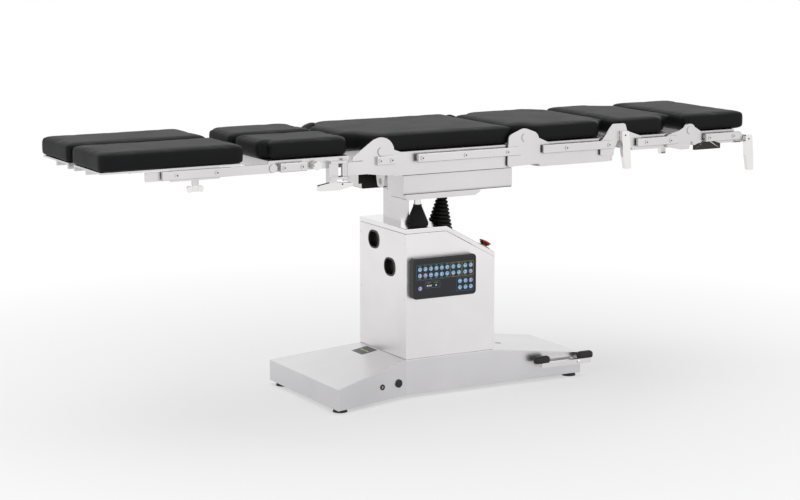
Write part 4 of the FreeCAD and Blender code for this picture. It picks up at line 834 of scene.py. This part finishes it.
bpy.ops.mesh.primitive_plane_add(size=FLOOR_SIZE, location=(0, 0, 0))
floor = bpy.context.object
floor.name = "floor"
pale = bpy.data.materials.new("pale_floor")
pale.use_nodes = True
tree = pale.node_tree
matt = tree.nodes["Principled BSDF"]
matt.inputs["Base Color"].default_value = (*FLOOR_GREY, 1)
matt.inputs["Roughness"].default_value = 0.9
matt.inputs["Specular IOR Level"].default_value = 0.0
plain_white = tree.nodes.new("ShaderNodeEmission")
plain_white.inputs["Strength"].default_value = 1.0
where = tree.nodes.new("ShaderNodeTexCoord")
away = tree.nodes.new("ShaderNodeVectorMath")
away.operation = "LENGTH"
tree.links.new(where.outputs["Object"], away.inputs[0])
fade = tree.nodes.new("ShaderNodeMapRange")
fade.inputs["From Min"].default_value = FLOOR_NEAR
fade.inputs["From Max"].default_value = FLOOR_FAR
fade.inputs["To Min"].default_value = FLOOR_WHITE
tree.links.new(away.outputs["Value"], fade.inputs["Value"])
share = tree.nodes.new("ShaderNodeMath")
share.operation = "MULTIPLY"
tree.links.new(fade.outputs["Result"], share.inputs[0])
tree.links.new(seen_directly(tree), share.inputs[1])
blend = tree.nodes.new("ShaderNodeMixShader")
tree.links.new(share.outputs[0], blend.inputs[0])
tree.links.new(matt.outputs[0], blend.inputs[1])
tree.links.new(plain_white.outputs[0], blend.inputs[2])
tree.links.new(blend.outputs[0], tree.nodes["Material Output"].inputs["Surface"])
floor.data.materials.append(pale)


def lamp(name, place, aim, size, power):
    """Square soft light that points at a place on the table."""
    data = bpy.data.lights.new(name, "AREA")
    data.shape = "RECTANGLE"
    data.size, data.size_y = size
    data.energy = power
    made = bpy.data.objects.new(name, data)
    made.location = place
    made.rotation_mode = "QUATERNION"
    made.rotation_quaternion = (Vector(aim) - Vector(place)).to_track_quat("-Z", "Y")
    scene.collection.objects.link(made)


for name, place, aim, size, power in LAMPS:
    lamp(name, place, aim, size, power)

world = bpy.data.worlds.new("studio")
scene.world = world
world.use_nodes = True
tree = world.node_tree
back = tree.nodes["Background"]
back.inputs["Color"].default_value = (*ROOM_GREY, 1)
back.inputs["Strength"].default_value = 1.0
white = tree.nodes.new("ShaderNodeBackground")
white.inputs["Color"].default_value = (1, 1, 1, 1)
white.inputs["Strength"].default_value = 1.0
mix = tree.nodes.new("ShaderNodeMixShader")
tree.links.new(seen_directly(tree), mix.inputs[0])
tree.links.new(back.outputs[0], mix.inputs[1])
tree.links.new(white.outputs[0], mix.inputs[2])
tree.links.new(mix.outputs[0], tree.nodes["World Output"].inputs["Surface"])

scene.view_settings.view_transform = "Standard"
camera = bpy.data.objects.new("camera", bpy.data.cameras.new("camera"))
scene.collection.objects.link(camera)
camera.data.sensor_width = 36
camera.data.lens = LENS
camera.location = CAMERA_PLACE
camera.rotation_mode = "QUATERNION"
look = -Vector((
    math.sin(CAMERA_AZIMUTH) * math.cos(CAMERA_ELEVATION),
    -math.cos(CAMERA_AZIMUTH) * math.cos(CAMERA_ELEVATION),
    math.sin(CAMERA_ELEVATION)))
camera.rotation_quaternion = look.to_track_quat("-Z", "Y")
scene.camera = camera
